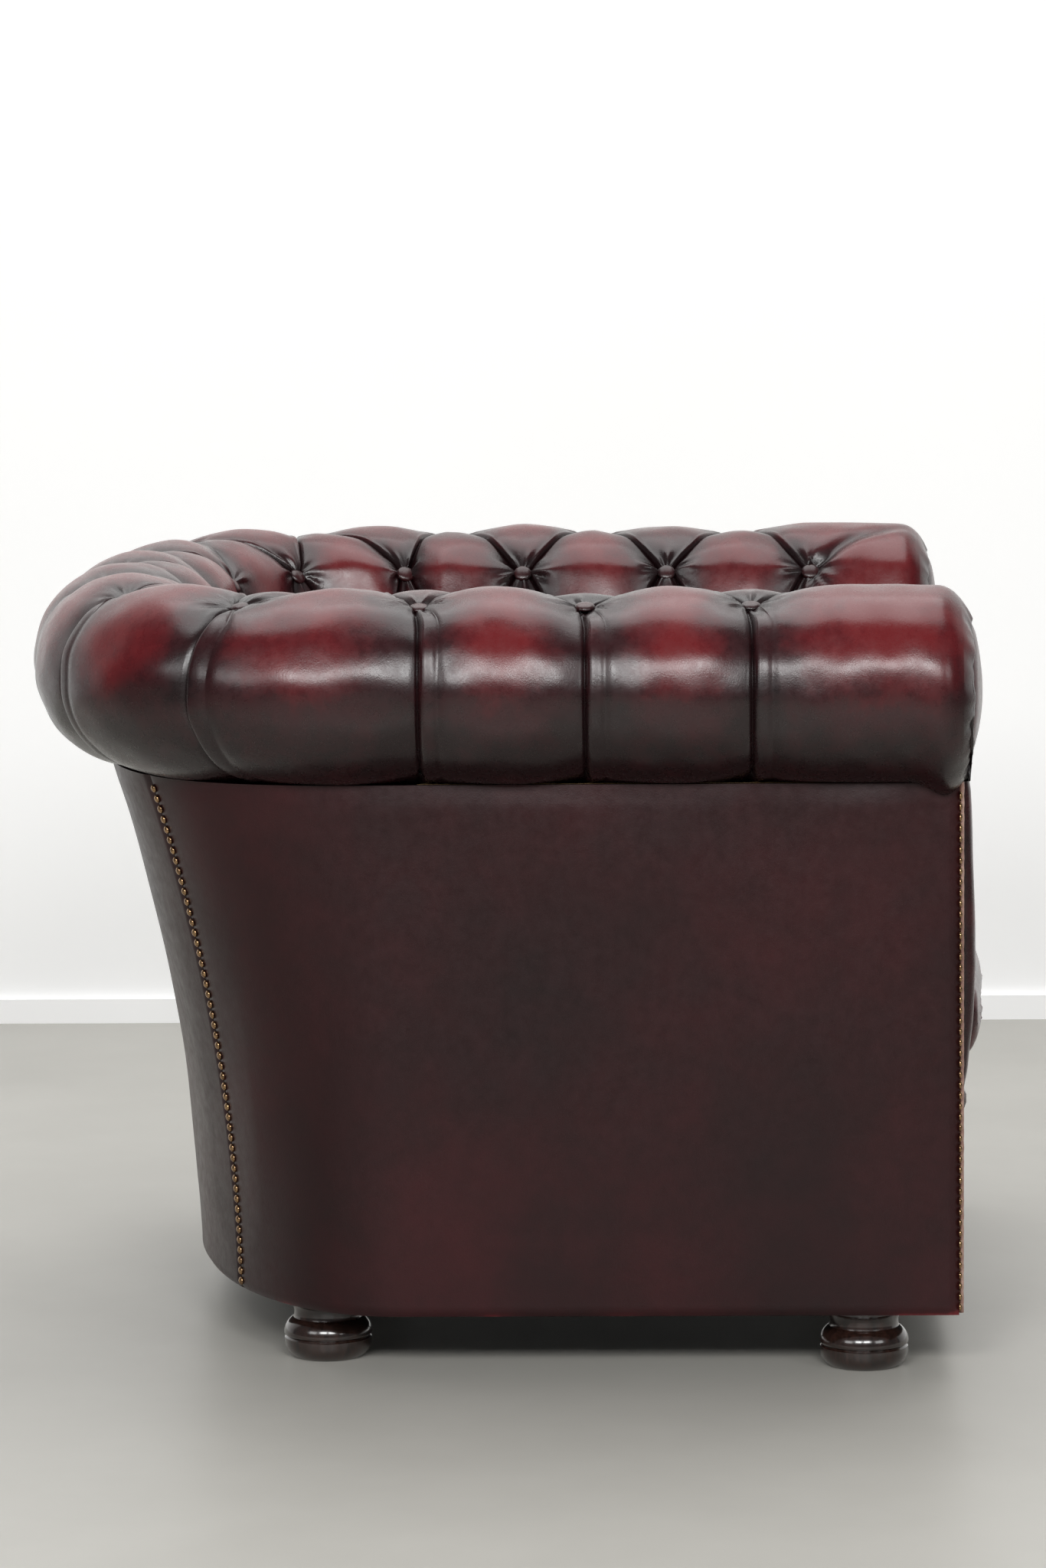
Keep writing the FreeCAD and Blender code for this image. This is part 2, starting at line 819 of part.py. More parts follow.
def make_blocks():
    post_back = board_front_y + post_depth
    x = -(axis_x + rail_face - rail_thickness)
    z1 = rail_z + block_height
    front = prism([(x, post_back), (x, post_back + block_leg), (x + block_leg, post_back)], rail_z, z1)
    rear = plan_strip(block_start_k, block_end_k, block_inner, rail_inner, rail_z, z1)
    rear = rear.cut(box(-axis_x, axis_x, spring_rail_y, spring_rail_y + spring_rail_thickness, rail_z, z1))
    rear = max(rear.Solids, key=lambda s: s.Volume)
    holes = bolt_holes(rail_z, z1)
    blocks = [b.cut(holes) for b in (front, rear, mirrored(front), mirrored(rear))]
    write("corner_blocks", Part.makeCompound(blocks))
    inset = panel_thickness + post_gap
    curve = [Station(k) for k in steps(-TURN_K, TURN_K)]
    edge_points = [s.point(s.base_offset() - inset, 0) for s in curve]
    side = axis_side() - inset
    points = [(p.x, p.y) for p in edge_points] + [(-side, board_front_y), (side, board_front_y)]
    write("dust_cover", prism(points, base_z, rail_z).cut(bolt_holes(base_z, rail_z)))


# Seat springs, deck and border

def make_springs():
    y0 = board_front_y + rail_thickness / 2
    y1 = spring_rail_y + spring_rail_thickness / 2
    r = spring_step / 2
    z = rail_top_z + spring_lift + spring_wire / 2
    loops = int((y1 - y0) // spring_step)
    start = y0 + ((y1 - y0) - loops * spring_step) / 2
    run = spring_half_width - r
    edges = []
    for i in range(loops):
        side = 1 if i % 2 == 0 else -1
        y = start + spring_step * i
        edges.append(Part.LineSegment(vec(-side * run, y, z), vec(side * run, y, z)).toShape())
        mid = vec(side * (run + r), y + r, z)
        end = vec(side * run, y + spring_step, z)
        edges.append(Part.Arc(vec(side * run, y, z), mid, end).toShape())
    last = -1 if loops % 2 else 1
    y = start + spring_step * loops
    edges.append(Part.LineSegment(vec(-last * run, y, z), vec(last * run, y, z)).toShape())
    path = Part.Wire(edges)
    circle = Part.Circle(vec(-run, start, z), vec(1, 0, 0), spring_wire / 2).toShape()
    spring = path.makePipeShell([Part.Wire([circle])], True, False)
    springs = []
    clips = []
    for i in range(spring_count):
        x = spring_spacing * (i - (spring_count - 1) / 2)
        copy = spring.copy()
        copy.translate(vec(x, 0, 0))
        springs.append(copy)
        for end in (start, y):
            bar = box(x - run, x + run, end - clip_half_length, end + clip_half_length,
                      rail_top_z, z + spring_wire / 2 + clip_over_wire)
            groove = Part.makeCylinder(spring_wire / 2 + clip_bore_gap, 2 * run, vec(x - run, end, z),
                                       vec(1, 0, 0))
            clips.append(bar.cut(groove))
    write("seat_springs", Part.makeCompound(springs))
    write("spring_clips", Part.makeCompound(clips))


def deck_outline(gap):
    stations = [Station(k) for k in steps(-TURN_K, TURN_K)]
    points = [s.point(s.frame_line(leather_bottom_z) - gap, 0) for s in stations]
    y = board_front_y + rail_thickness + deck_gap
    side = axis_x - board_in - fit_gap - gap
    return [(p.x, p.y) for p in points] + [(-side, y), (side, y)]


def make_deck():
    deck = prism(deck_outline(deck_side_gap), deck_bottom_z, leather_bottom_z - fit_gap)
    half = inside_x - foot_in
    top = box(-half, half, board_front_y + rail_thickness + deck_gap, inside_turn_y,
              leather_bottom_z - fit_gap, deck_top_z)
    write("seat_deck", deck.fuse(top).removeSplitter())


def make_border():
    # leather front under the cushion, rolled back over the edge of the seat
    y = board_front_y
    side = axis_x - Station(FRONT_K).inside + facing_inset - border_side_gap
    front = y - border_thickness
    back = y + rail_thickness
    top = deck_top_z - fit_gap
    tail_z = rail_top_z + border_tail
    points = [vec(-side, y, rail_z), vec(-side, front, rail_z), vec(-side, front, top - 2 * border_lip),
              vec(-side, front + border_lip - border_turn, top), vec(-side, back, top),
              vec(-side, back, tail_z), vec(-side, y, tail_z)]
    middles = {2: vec(-side, front - border_lip + border_nose, top - border_lip)}
    face = Part.Face(closed_wire(points, middles))
    write("front_border", face.extrude(vec(2 * side, 0, 0)))


# Loose cushion

def cushion_wire(y, half, low, height, crown, inset):
    # a flat bottom, rounded sides and a crowned top
    h = half - inset
    z0 = rest_z + low + inset
    z1 = z0 + height - 2 * inset
    side = min(cushion_side_round, h * cushion_side_share)
    points = [vec(-h + side, y, z0), vec(h - side, y, z0), vec(h - side, y, z1), vec(-h + side, y, z1)]
    middles = {1: vec(h, y, (z0 + z1) / 2), 2: vec(0, y, z1 + crown), 3: vec(-h, y, (z0 + z1) / 2)}
    return closed_wire(points, middles)


def rounding(distance, reach):
    # a quarter round, 0 at the end of the cushion and 1 from its reach on
    left = max(0.0, 1 - distance / reach)
    return math.sqrt(1 - left ** 2)


def cushion(inset):
    # sections from the front nose to the back, closer together at the ends
    half = inside_x - cushion_side_gap
    length = cushion_back_y - cushion_front_y
    wires = []
    for i in range(cushion_sections + 1):
        share = (1 - math.cos(math.pi * i / cushion_sections)) / 2
        bow = math.sin(math.pi * share)
        nose = 1 - rounding(length * share, nose_depth)
        tail = 1 - rounding(length * (1 - share), back_round)
        draw = cushion_draw_in * bow + nose_corner * nose + cushion_corner * tail
        low = nose_height * nose + back_low * tail
        height = cushion_height - (cushion_height - nose_end_height) * nose
        height -= (cushion_height - back_end_height) * tail
        crown = max(crown_least, cushion_crown * bow ** cushion_fullness)
        y = cushion_front_y + inset + (length - 2 * inset) * share
        wires.append(cushion_wire(y, half - draw, low, height, crown, inset))
    return ruled(wires)


def make_cushion():
    outer = cushion(0.0)
    write("cushion_cover", outer.cut(cushion(cover_thickness)))
    write("cushion_foam", cushion(cover_thickness + cover_gap))
    tape_y = cushion_back_y + zip_tape_thickness
    teeth_y = tape_y + zip_teeth_thickness
    half = zip_half_length + zip_tape_margin
    tape = box(-half, half, cushion_back_y, tape_y, zip_z - zip_tape_half_width, zip_z + zip_tape_half_width)
    half = zip_half_length + zip_teeth_margin
    teeth = box(-half, half, tape_y, teeth_y, zip_z - zip_teeth_half_width, zip_z + zip_teeth_half_width)
    write("cushion_zip", tape.fuse(teeth).removeSplitter())
    x = -zip_half_length
    body_y = teeth_y + slider_gap
    tab_y = body_y + slider_thickness
    body = box(x - slider_half_length, x + slider_half_length, body_y, tab_y,
               zip_z - slider_half_width, zip_z + slider_half_width)
    tab = box(x - tab_half_width, x + tab_half_width, tab_y, tab_y + tab_thickness,
              zip_z - tab_drop, zip_z + tab_rise)
    write("zip_slider", body.fuse(tab).removeSplitter())


os.makedirs("parts", exist_ok=True)
make_leather()
make_foam()
make_buttons()
make_panels()
make_nails()
make_arm_fronts()
make_frame()
make_feet()
make_blocks()
make_springs()
make_deck()
make_border()
make_cushion()
total = Part.makeCompound(list(PARTS.values())).BoundBox
print(len(PARTS), "parts", total)
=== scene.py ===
import bpy
import bmesh
import json
import math
import numpy as np
from mathutils import Matrix, Vector
from mathutils.bvhtree import BVHTree


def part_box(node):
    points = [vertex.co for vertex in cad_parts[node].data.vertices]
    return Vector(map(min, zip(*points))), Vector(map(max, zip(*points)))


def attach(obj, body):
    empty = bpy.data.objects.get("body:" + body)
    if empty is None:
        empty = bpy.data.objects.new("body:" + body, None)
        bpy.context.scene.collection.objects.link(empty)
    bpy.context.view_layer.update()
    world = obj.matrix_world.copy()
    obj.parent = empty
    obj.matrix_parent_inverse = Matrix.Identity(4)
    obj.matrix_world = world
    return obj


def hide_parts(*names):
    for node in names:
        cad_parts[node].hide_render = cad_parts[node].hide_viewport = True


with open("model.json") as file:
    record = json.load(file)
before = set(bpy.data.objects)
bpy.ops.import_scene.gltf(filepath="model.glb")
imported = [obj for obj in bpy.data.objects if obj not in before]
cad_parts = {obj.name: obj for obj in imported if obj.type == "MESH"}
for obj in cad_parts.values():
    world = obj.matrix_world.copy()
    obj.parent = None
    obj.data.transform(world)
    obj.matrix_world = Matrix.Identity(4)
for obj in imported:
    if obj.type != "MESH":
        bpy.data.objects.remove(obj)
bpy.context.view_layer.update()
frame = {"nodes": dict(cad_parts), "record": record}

# Deep buttoned club armchair. Metres, in the same frame as the solids: the front faces -Y, the
# sitter's right is -X, and k counts buttons from the middle of the back, positive to the right.

# Plan and section of the roll and the inside, as in the solids
AXIS_X = 0.415
STRAIGHT_END_Y = 0.103
TUB_DEPTH = 0.270
TUB_SQUARENESS = 3.0
ARM_FRONT_Y = -0.423
ROLL_RADIUS = 0.095
ROLL_CROWN = 0.001
ROLL_Z = 0.643
SEAM_R = 0.020
SEAM_Z = 0.557
INSIDE_X = 0.265
INSIDE_BACK_Y = 0.143
INSIDE_TURN_Y = 0.078
INSIDE_SQUARENESS = 4.0
FAN = 1.85
BELLY_Z = 0.430
LEATHER_BOTTOM_Z = 0.250
INNER_ROW_Z = 0.575
INNER_ROW_LEAN = 0.38
TOP_ROW_ANGLE = 15.0
CREST_ANGLE = -19.0
SIDE_ROW_ANGLE = -53.0
INNER_ROW_ANGLE = -78.0
PITCH = 0.1526
LAST_BUTTON = 6
JOINT_BUTTON = 3
BUTTON_SINK = 0.017
INNER_SINK = 0.015
BUTTON_RADIUS = 0.0095
BUTTON_HEIGHT = 0.006
CORE_RADIUS = 0.068
FACING_INSET = 0.030
RAIL_OUT = 0.0135

# Outside panels
BASE_Z = 0.056
BASE_DEPTH = 0.213
BACK_LEAN = 0.057
BACK_HOLLOW = 0.018
PANEL_THICKNESS = 0.006
PANEL_TOP_Z = SEAM_Z - 0.0005
NAIL_LINE_K = 2.2
NAIL_INSET = 0.006
NAIL_START_Z = 0.064
NAIL_PITCH = 0.010

# Cushion
REST_Z = 0.2503
CUSHION_FRONT_Y = -0.468
CUSHION_BACK_Y = 0.122
CUSHION_HALF = 0.262

QUARTER_STEPS = 1440
BASE_SEARCH = (-0.25, 0.08)
HALVINGS = 40


# Plan curves

def oval(a, b, squareness):
    # a quarter oval from its middle (0, b): length run so far, x and y
    turn = np.radians(np.linspace(90, 0, QUARTER_STEPS + 1))
    x = a * np.cos(turn).clip(0, 1) ** (2 / squareness)
    y = b * np.sin(turn).clip(0, 1) ** (2 / squareness)
    x[0] = 0.0
    run = np.concatenate([[0.0], np.cumsum(np.hypot(np.diff(x), np.diff(y)))])
    return run, x, y


ROLL_PATH = oval(AXIS_X, TUB_DEPTH, TUB_SQUARENESS)
INSIDE_PATH = oval(INSIDE_X, INSIDE_BACK_Y - INSIDE_TURN_Y, INSIDE_SQUARENESS)
ROLL_QUARTER = ROLL_PATH[0][-1]
TURN_K = (ROLL_QUARTER + STRAIGHT_END_Y - INSIDE_TURN_Y) / PITCH
FRONT_K = (ROLL_QUARTER + STRAIGHT_END_Y - ARM_FRONT_Y) / PITCH


class Stations:
    # vertical sections of the chair at an array of k; r runs outward from the roll's centre line
    def __init__(self, k):
        k = np.asarray(k, float)
        side = np.where(k >= 0, -1.0, 1.0)
        far = np.abs(k)
        run = far * PITCH
        x = np.interp(run, ROLL_PATH[0], ROLL_PATH[1])
        y = np.interp(run, ROLL_PATH[0], ROLL_PATH[2])
        nx = (x / AXIS_X) ** (TUB_SQUARENESS - 1) / AXIS_X
        ny = (y / TUB_DEPTH) ** (TUB_SQUARENESS - 1) / TUB_DEPTH
        size = np.hypot(nx, ny)
        y = y + STRAIGHT_END_Y - np.maximum(run - ROLL_QUARTER, 0)
        share = 1 - (1 - np.minimum(far / TURN_K, 1)) ** FAN
        inside_run = share * INSIDE_PATH[0][-1]
        straight = far >= TURN_K
        qx = np.interp(inside_run, INSIDE_PATH[0], INSIDE_PATH[1])
        qy = np.interp(inside_run, INSIDE_PATH[0], INSIDE_PATH[2]) + INSIDE_TURN_Y
        qx, qy = np.where(straight, INSIDE_X, qx), np.where(straight, y, qy)
        reach = np.hypot(x - qx, y - qy)
        ux, uy = (x - qx) / reach, (y - qy) / reach
        self.x, self.y = side * x, y
        self.ux, self.uy = side * ux, uy
        self.stretch = size / (ux * nx + uy * ny)
        self.inside = reach / self.stretch

    def point(self, r, z):
        reach = r * self.stretch
        x, y = self.x + self.ux * reach, self.y + self.uy * reach
        return np.stack(np.broadcast_arrays(x, y, z), -1)

    def base_offset(self):
        # where the plan meets the oval of the panels' bottom edge
        low = np.full(np.shape(self.x), BASE_SEARCH[0])
        high = np.full(np.shape(self.x), BASE_SEARCH[1])
        for _ in range(HALVINGS):
            r = (low + high) / 2
            p = self.point(r, 0 * r)
            y = np.maximum(p[..., 1] - STRAIGHT_END_Y, 0)
            out = (p[..., 0] / (AXIS_X + SEAM_R)) ** 2 + (y / BASE_DEPTH) ** 2 > 1
            high = np.where(out, r, high)
            low = np.where(out, low, r)
        return low

    def panel(self, z):
        # how far out the outside panel stands at a height: leaning in to its base, and a little hollow
        low = self.base_offset()
        t = (z - BASE_Z) / (PANEL_TOP_Z - BASE_Z)
        lean = SEAM_R - low
        hollow = BACK_HOLLOW * lean / (SEAM_R + BACK_LEAN)
        return low + lean * t - 4 * hollow * t * (1 - t)


# Materials. A pattern too fine to show at the photograph's size is drawn coarser than the real one.

CLOUD_MM = 55
PATCH_MM = 12
WRINKLE_MM = 6.5
FOAM_CELL_MM = 1.4
SLUB_MM = 4


def linear(code):
    # an sRGB hex colour as linear RGBA
    parts = [int(code[i:i + 2], 16) / 255 for i in (1, 3, 5)]
    bent = [c / 12.92 if c <= 0.04045 else ((c + 0.055) / 1.055) ** 2.4 for c in parts]
    return tuple(bent) + (1.0,)


def feed(tree, node, inputs):
    # each input gets a value of its own, or a link from another node's socket
    for name, value in inputs.items():
        if isinstance(value, bpy.types.NodeSocket):
            tree.links.new(value, node.inputs[name])
        else:
            node.inputs[name].default_value = value


def add(tree, kind, inputs=None, stops=(), **settings):
    # one node with its settings and inputs; stops are the places and hex colours of a colour ramp
    made = tree.nodes.new("ShaderNode" + kind)
    for name, value in settings.items():
        setattr(made, name, value)
    feed(tree, made, inputs or {})
    if stops:
        while len(made.color_ramp.elements) < len(stops):
            made.color_ramp.elements.new(0.5)
        for element, (place, code) in zip(made.color_ramp.elements, stops):
            element.position = place
            element.color = linear(code)
    return made


def new_material(name):
    made = bpy.data.materials.new(name)
    made.use_nodes = True
    tree = made.node_tree
    tree.nodes.clear()
    shader = add(tree, "BsdfPrincipled")
    add(tree, "OutputMaterial", {"Surface": shader.outputs["BSDF"]})
    place = add(tree, "TexCoord").outputs["Object"]
    return made, tree, shader, place


def leather(name, low, mid, crown, rubbed, roughness=(0.23, 0.34), grain_mm=1.4, coat=0.12,
            mottle=(1.05, 0.32), specular=0.5):
    # Cowhide, pigmented and antiqued: the piece's crown attribute runs from the folds, nearly black, to the
    # rubbed red crowns, and clouds and patches break it up. The dark of the folds is partly the antique
    # finish and partly painted shade, and the darkening down the roll's outside and down the inside is
    # painted shade.
    # The pebble grain and the wrinkles roughen the highlights, and a thin wax coat keeps them soft.
    made, tree, shader, place = new_material(name)
    height = add(tree, "Attribute", attribute_name="crown").outputs["Fac"]
    cloud = add(tree, "TexNoise", {"Vector": place, "Scale": 1000 / CLOUD_MM, "Detail": 6.0,
                                   "Roughness": 0.62})
    patch = add(tree, "TexNoise", {"Vector": place, "Scale": 1000 / PATCH_MM, "Detail": 5.0,
                                   "Roughness": 0.7})
    drift = add(tree, "Math", {0: cloud.outputs["Fac"], 1: 0.5}, operation="SUBTRACT")
    speck = add(tree, "Math", {0: patch.outputs["Fac"], 1: 0.5}, operation="SUBTRACT")
    wide = add(tree, "Math", {0: drift.outputs[0], 1: mottle[0], 2: height}, operation="MULTIPLY_ADD")
    shade = add(tree, "Math", {0: speck.outputs[0], 1: mottle[1], 2: wide.outputs[0]},
                operation="MULTIPLY_ADD", use_clamp=True)
    colour = add(tree, "ValToRGB", {"Fac": shade.outputs[0]},
                 [(0.05, low), (0.42, mid), (0.80, crown), (1.0, rubbed)])
    gloss = add(tree, "MapRange", {"Value": patch.outputs["Fac"], "From Min": 0.3, "From Max": 0.72,
                                   "To Min": roughness[0], "To Max": roughness[1]})
    pebble = add(tree, "TexNoise", {"Vector": place, "Scale": 1000 / grain_mm, "Detail": 2.0,
                                    "Roughness": 0.5})
    crease = add(tree, "TexNoise", {"Vector": place, "Scale": 1000 / WRINKLE_MM, "Detail": 4.0,
                                    "Roughness": 0.6, "Distortion": 0.6})
    fine = add(tree, "Bump", {"Height": pebble.outputs["Fac"], "Strength": 0.20, "Distance": 0.0004})
    wrinkle = add(tree, "Bump", {"Height": crease.outputs["Fac"], "Strength": 0.12,
                                 "Distance": 0.0010, "Normal": fine.outputs["Normal"]})
    feed(tree, shader, {"Base Color": colour.outputs["Color"], "Roughness": gloss.outputs["Result"],
                        "Normal": wrinkle.outputs["Normal"], "Specular IOR Level": specular,
                        "Coat Weight": coat, "Coat Roughness": 0.30})
    return made


def wood(name, dark, light, grain_mm, roughness, coat, stretch):
    # grain drawn as long streaks: noise squeezed along the board, plus pores a quarter of its width
    made, tree, shader, place = new_material(name)
    squeeze = add(tree, "Mapping", {"Vector": place, "Scale": stretch}).outputs["Vector"]
    ring = add(tree, "TexNoise", {"Vector": squeeze, "Scale": 1000 / grain_mm, "Detail": 5.0,
                                  "Roughness": 0.6, "Distortion": 0.8})
    pore = add(tree, "TexNoise", {"Vector": squeeze, "Scale": 4000 / grain_mm, "Detail": 2.0})
    both = add(tree, "Math", {0: pore.outputs["Fac"], 1: 0.3, 2: ring.outputs["Fac"]},
               operation="MULTIPLY_ADD").outputs[0]
    colour = add(tree, "ValToRGB", {"Fac": both}, [(0.45, dark), (0.85, light)])
    gloss = add(tree, "MapRange", {"Value": ring.outputs["Fac"], "To Min": roughness - 0.06,
                                   "To Max": roughness + 0.08})
    bump = add(tree, "Bump", {"Height": both, "Strength": 0.25, "Distance": 0.0003})
    feed(tree, shader, {"Base Color": colour.outputs["Color"], "Roughness": gloss.outputs["Result"],
                        "Normal": bump.outputs["Normal"], "Coat Weight": coat,
                        "Coat Roughness": 0.12})
    return made


def metal(name, dark, light, roughness, speck_mm):
    # a worn metal: darker and duller in its pits, brighter where it is rubbed
    made, tree, shader, place = new_material(name)
    pits = add(tree, "TexNoise", {"Vector": place, "Scale": 1000 / speck_mm, "Detail": 4.0,
                                  "Roughness": 0.65}).outputs["Fac"]
    colour = add(tree, "ValToRGB", {"Fac": pits}, [(0.38, dark), (0.66, light)])
    gloss = add(tree, "MapRange", {"Value": pits, "To Min": roughness + 0.12,
                                   "To Max": roughness - 0.06})
    bump = add(tree, "Bump", {"Height": pits, "Strength": 0.2, "Distance": 0.0002})
    feed(tree, shader, {"Base Color": colour.outputs["Color"], "Roughness": gloss.outputs["Result"],
                        "Normal": bump.outputs["Normal"], "Metallic": 1.0})
    return made


def cloth(name, dark, light, thread_mm, roughness=0.85):
    # plain weave: two crossed rows of threads and a little unevenness, fully matt
    made, tree, shader, place = new_material(name)
    threads = {"Vector": place, "Scale": 1000 / thread_mm / math.tau, "Distortion": 0.4}
    across = add(tree, "TexWave", threads, bands_direction="X")
    down = add(tree, "TexWave", threads, bands_direction="Y")
    slub = add(tree, "TexNoise", {"Vector": place, "Scale": 1000 / SLUB_MM, "Detail": 3.0})
    weave = add(tree, "Math", {0: across.outputs["Fac"], 1: down.outputs["Fac"]}, operation="MAXIMUM")
    both = add(tree, "Math", {0: slub.outputs["Fac"], 1: 0.5, 2: weave.outputs[0]},
               operation="MULTIPLY_ADD").outputs[0]
    colour = add(tree, "ValToRGB", {"Fac": both}, [(0.3, dark), (1.0, light)])
    bump = add(tree, "Bump", {"Height": both, "Strength": 0.4, "Distance": 0.0003})
    feed(tree, shader, {"Base Color": colour.outputs["Color"], "Normal": bump.outputs["Normal"],
                        "Roughness": roughness})
    return made


def foam(name, dark, light):
    # open cell polyurethane: small round pores, fully matt
    made, tree, shader, place = new_material(name)
    cells = add(tree, "TexVoronoi", {"Vector": place, "Scale": 1000 / FOAM_CELL_MM}).outputs["Distance"]
    colour = add(tree, "ValToRGB", {"Fac": cells}, [(0.1, dark), (0.6, light)])
    bump = add(tree, "Bump", {"Height": cells, "Strength": 0.5, "Distance": 0.0005})
    feed(tree, shader, {"Base Color": colour.outputs["Color"], "Normal": bump.outputs["Normal"],
                        "Roughness": 0.95})
    return made


SLOT_MATERIALS = {
    # hand antiqued hide: red crowns that fall off to near black in every fold and down the roll, partly the
    # antique finish and partly painted shade; soft window highlights
    "oxblood_leather": leather("antiqued_oxblood_cowhide", "#18080a", "#2f0a0f", "#550e14", "#65161a"),
    # the same hide drawn tight over the buttons: darker, as painted shade for the deep dimples they sit in
    "button_leather": leather("covered_button_cowhide", "#0e0708", "#1d0b0d", "#350f12", "#471619",
                              grain_mm=0.9),
    # the same hide pasted flat on board: a dark, even, duller red brown
    "panel_leather": leather("outside_panel_cowhide", "#140708", "#26090c", "#380e12", "#6c2226",
                             roughness=(0.32, 0.46), grain_mm=1.3, coat=0.05, mottle=(0.55, 0.22),
                             specular=0.32),
    # hide pared thin over a cord: a pale pinkish tan, painted reflection of the white wall
    "piping_leather": leather("skived_piping_cowhide", "#2c1614", "#6a4640", "#a07c70", "#bf9f92",
                              grain_mm=0.9),
    # pressed brass, tarnished and rubbed: a dull gold with bright points
    "nail_brass": metal("antiqued_brass_nail", "#7a6049", "#b8966e", 0.22, 3.0),
    # turned beech under dark stain and lacquer: almost black, glossy, with a hint of brown grain
    "foot_wood": wood("lacquered_turned_beech", "#0e0806", "#34201a", 5.0, 0.20, 0.9, (1.0, 1.0, 0.12)),
    # bare planed frame wood: warm straw with long pale streaks
    "beech": wood("planed_beech", "#a57a4c", "#d9b888", 4.0, 0.6, 0.0, (1.0, 0.12, 1.0)),
    # birch plywood: paler and flatter than the beech
    "plywood": wood("birch_plywood", "#b08c5c", "#dcc193", 3.0, 0.62, 0.0, (0.3, 1.0, 0.3)),
    # cut foam: matt cream with open pores
    "foam": foam("polyurethane_foam", "#a89c6c", "#dcd3a5"),
    # woven jute straps: coarse brown threads
    "webbing": cloth("jute_webbing", "#6d5636", "#b39a6c", 1.6),
    # dyed hessian over the springs: an open dark grey weave
    "deck_cloth": cloth("hessian_deck_cloth", "#2f2a28", "#5c534c", 1.0),
    # dyed cotton under the frame: a thin flat black
    "dust_cloth": cloth("black_cambric", "#0c0c0d", "#26262a", 0.7),
    # wire hardened in oil: dark grey with a dull shine
    "spring_steel": metal("oil_tempered_spring_steel", "#2a2c30", "#6a6d73", 0.38, 1.2),
    # plated fixings: pale grey, lightly mottled
    "zinc_steel": metal("zinc_plated_steel", "#7d8288", "#b4b9bf", 0.34, 1.8),
    # woven zip tape: a fine dark red brown weave
    "zip_tape": cloth("woven_zip_tape", "#150708", "#3a1718", 0.5),
    # cast zip slider: yellow brown with a soft shine
    "zip_brass": metal("die_cast_brass", "#6a4e24", "#b08c4c", 0.3, 1.4),
}
OXBLOOD = SLOT_MATERIALS["oxblood_leather"]
for part in frame["record"]["subparts"]:
    mesh = frame["nodes"][part["node"]].data
    mesh.materials.clear()
    mesh.materials.append(SLOT_MATERIALS[part["material_slot"]])


# Meshes

WAVES_PER_SCALE = 3


def put(name, verts, faces, material):
    # a smooth shaded piece, with its place in its mesh
    mesh = bpy.data.meshes.new(name)
    mesh.from_pydata([tuple(v) for v in verts], [], faces)
    mesh.materials.append(material)
    mesh.shade_smooth()
    mesh.update()
    made = bpy.data.objects.new(name, mesh)
    bpy.context.scene.collection.objects.link(made)
    return made


def set_crown(obj, values):
    layer = obj.data.attributes.new("crown", "FLOAT", "POINT")
    layer.data.foreach_set("value", np.asarray(values, np.float32))


def grid_normals(points):
    # smooth normals of a grid of points whose first axis closes on itself
    down = np.roll(points, -1, 0) - np.roll(points, 1, 0)
    right = np.gradient(points, axis=1)
    normal = np.cross(right, down)
    return normal / np.maximum(np.linalg.norm(normal, axis=-1, keepdims=True), 1e-12)


def waves(x, y, seed, scales):
    # smooth unevenness from a few seeded sine waves, about -1 to 1
    rng = np.random.default_rng(seed)
    total = np.zeros(np.broadcast(x, y).shape)
    for scale in scales:
        for _ in range(WAVES_PER_SCALE):
            turn, phase = rng.uniform(0, math.tau, 2)
            total += np.sin((x * math.cos(turn) + y * math.sin(turn)) * math.tau / scale + phase)
    return total / (1.7 * len(scales))


def grid_faces(count, wide):
    # quads between the columns of a grid whose rows close on themselves, and a cap at each end
    index = np.arange(count * wide).reshape(count, wide)
    below = np.roll(index, -1, 0)
    quads = np.stack([index[:, :-1], index[:, 1:], below[:, 1:], below[:, :-1]], -1).reshape(-1, 4)
    return [tuple(q) for q in quads.tolist()] + [tuple(index[:, 0].tolist()),
                                                 tuple(index[::-1, -1].tolist())]


def tube_faces(spans, around):
    # quads from ring to ring, and a cap at each end
    faces = []
    for i in range(spans):
        for j in range(around):
            a, b = i * around + j, i * around + (j + 1) % around
            faces.append((a, b, b + around, a + around))
    return faces + [tuple(range(around - 1, -1, -1)),
                    tuple(range(spans * around, (spans + 1) * around))]


def copies(pattern, places, spin=0.0):
    # one mesh copied to every place, with its Z along the normal there
    verts, faces = [], []
    for index, (place, normal) in enumerate(places):
        turn = normal.to_track_quat("Z", "Y").to_matrix().to_4x4()
        move = Matrix.Translation(place) @ turn @ Matrix.Rotation(index * spin, 4, "Z")
        base = len(verts)
        verts += [move @ vert.co for vert in pattern.data.vertices]
        faces += [tuple(base + i for i in face.vertices) for face in pattern.data.polygons]
    return verts, faces


def face_outward(obj):
    bm = bmesh.new()
    bm.from_mesh(obj.data)
    bmesh.ops.recalc_face_normals(bm, faces=bm.faces)
    bm.to_mesh(obj.data)
    bm.free()


def deselect():
    for obj in bpy.context.selected_objects:
        obj.select_set(False)


def pick(obj):
    # makes this the one piece that operators act on
    deselect()
    obj.select_set(True)
    bpy.context.view_layer.objects.active = obj


def apply_modifier(obj, kind, **settings):
    made = obj.modifiers.new(kind.lower(), kind)
    for name, value in settings.items():
        setattr(made, name, value)
    bpy.ops.object.modifier_apply(modifier=made.name)


def get_points(obj):
    return np.array([v.co for v in obj.data.vertices])


def set_points(obj, points):
    obj.data.vertices.foreach_set("co", points.reshape(-1))
    obj.data.update()


# Tufted leather. Rows run from the outside seam (-1) over the roll to the seat (3); the buttons are at
# rows 0, 1 and 2. Columns fan out from button to button, so that every fold lies on a column.

CHEEK_FULL, CHEEK_DROP = 0.002, 0.003
BELLY_IN, FOOT_IN = 0.005, 0.009


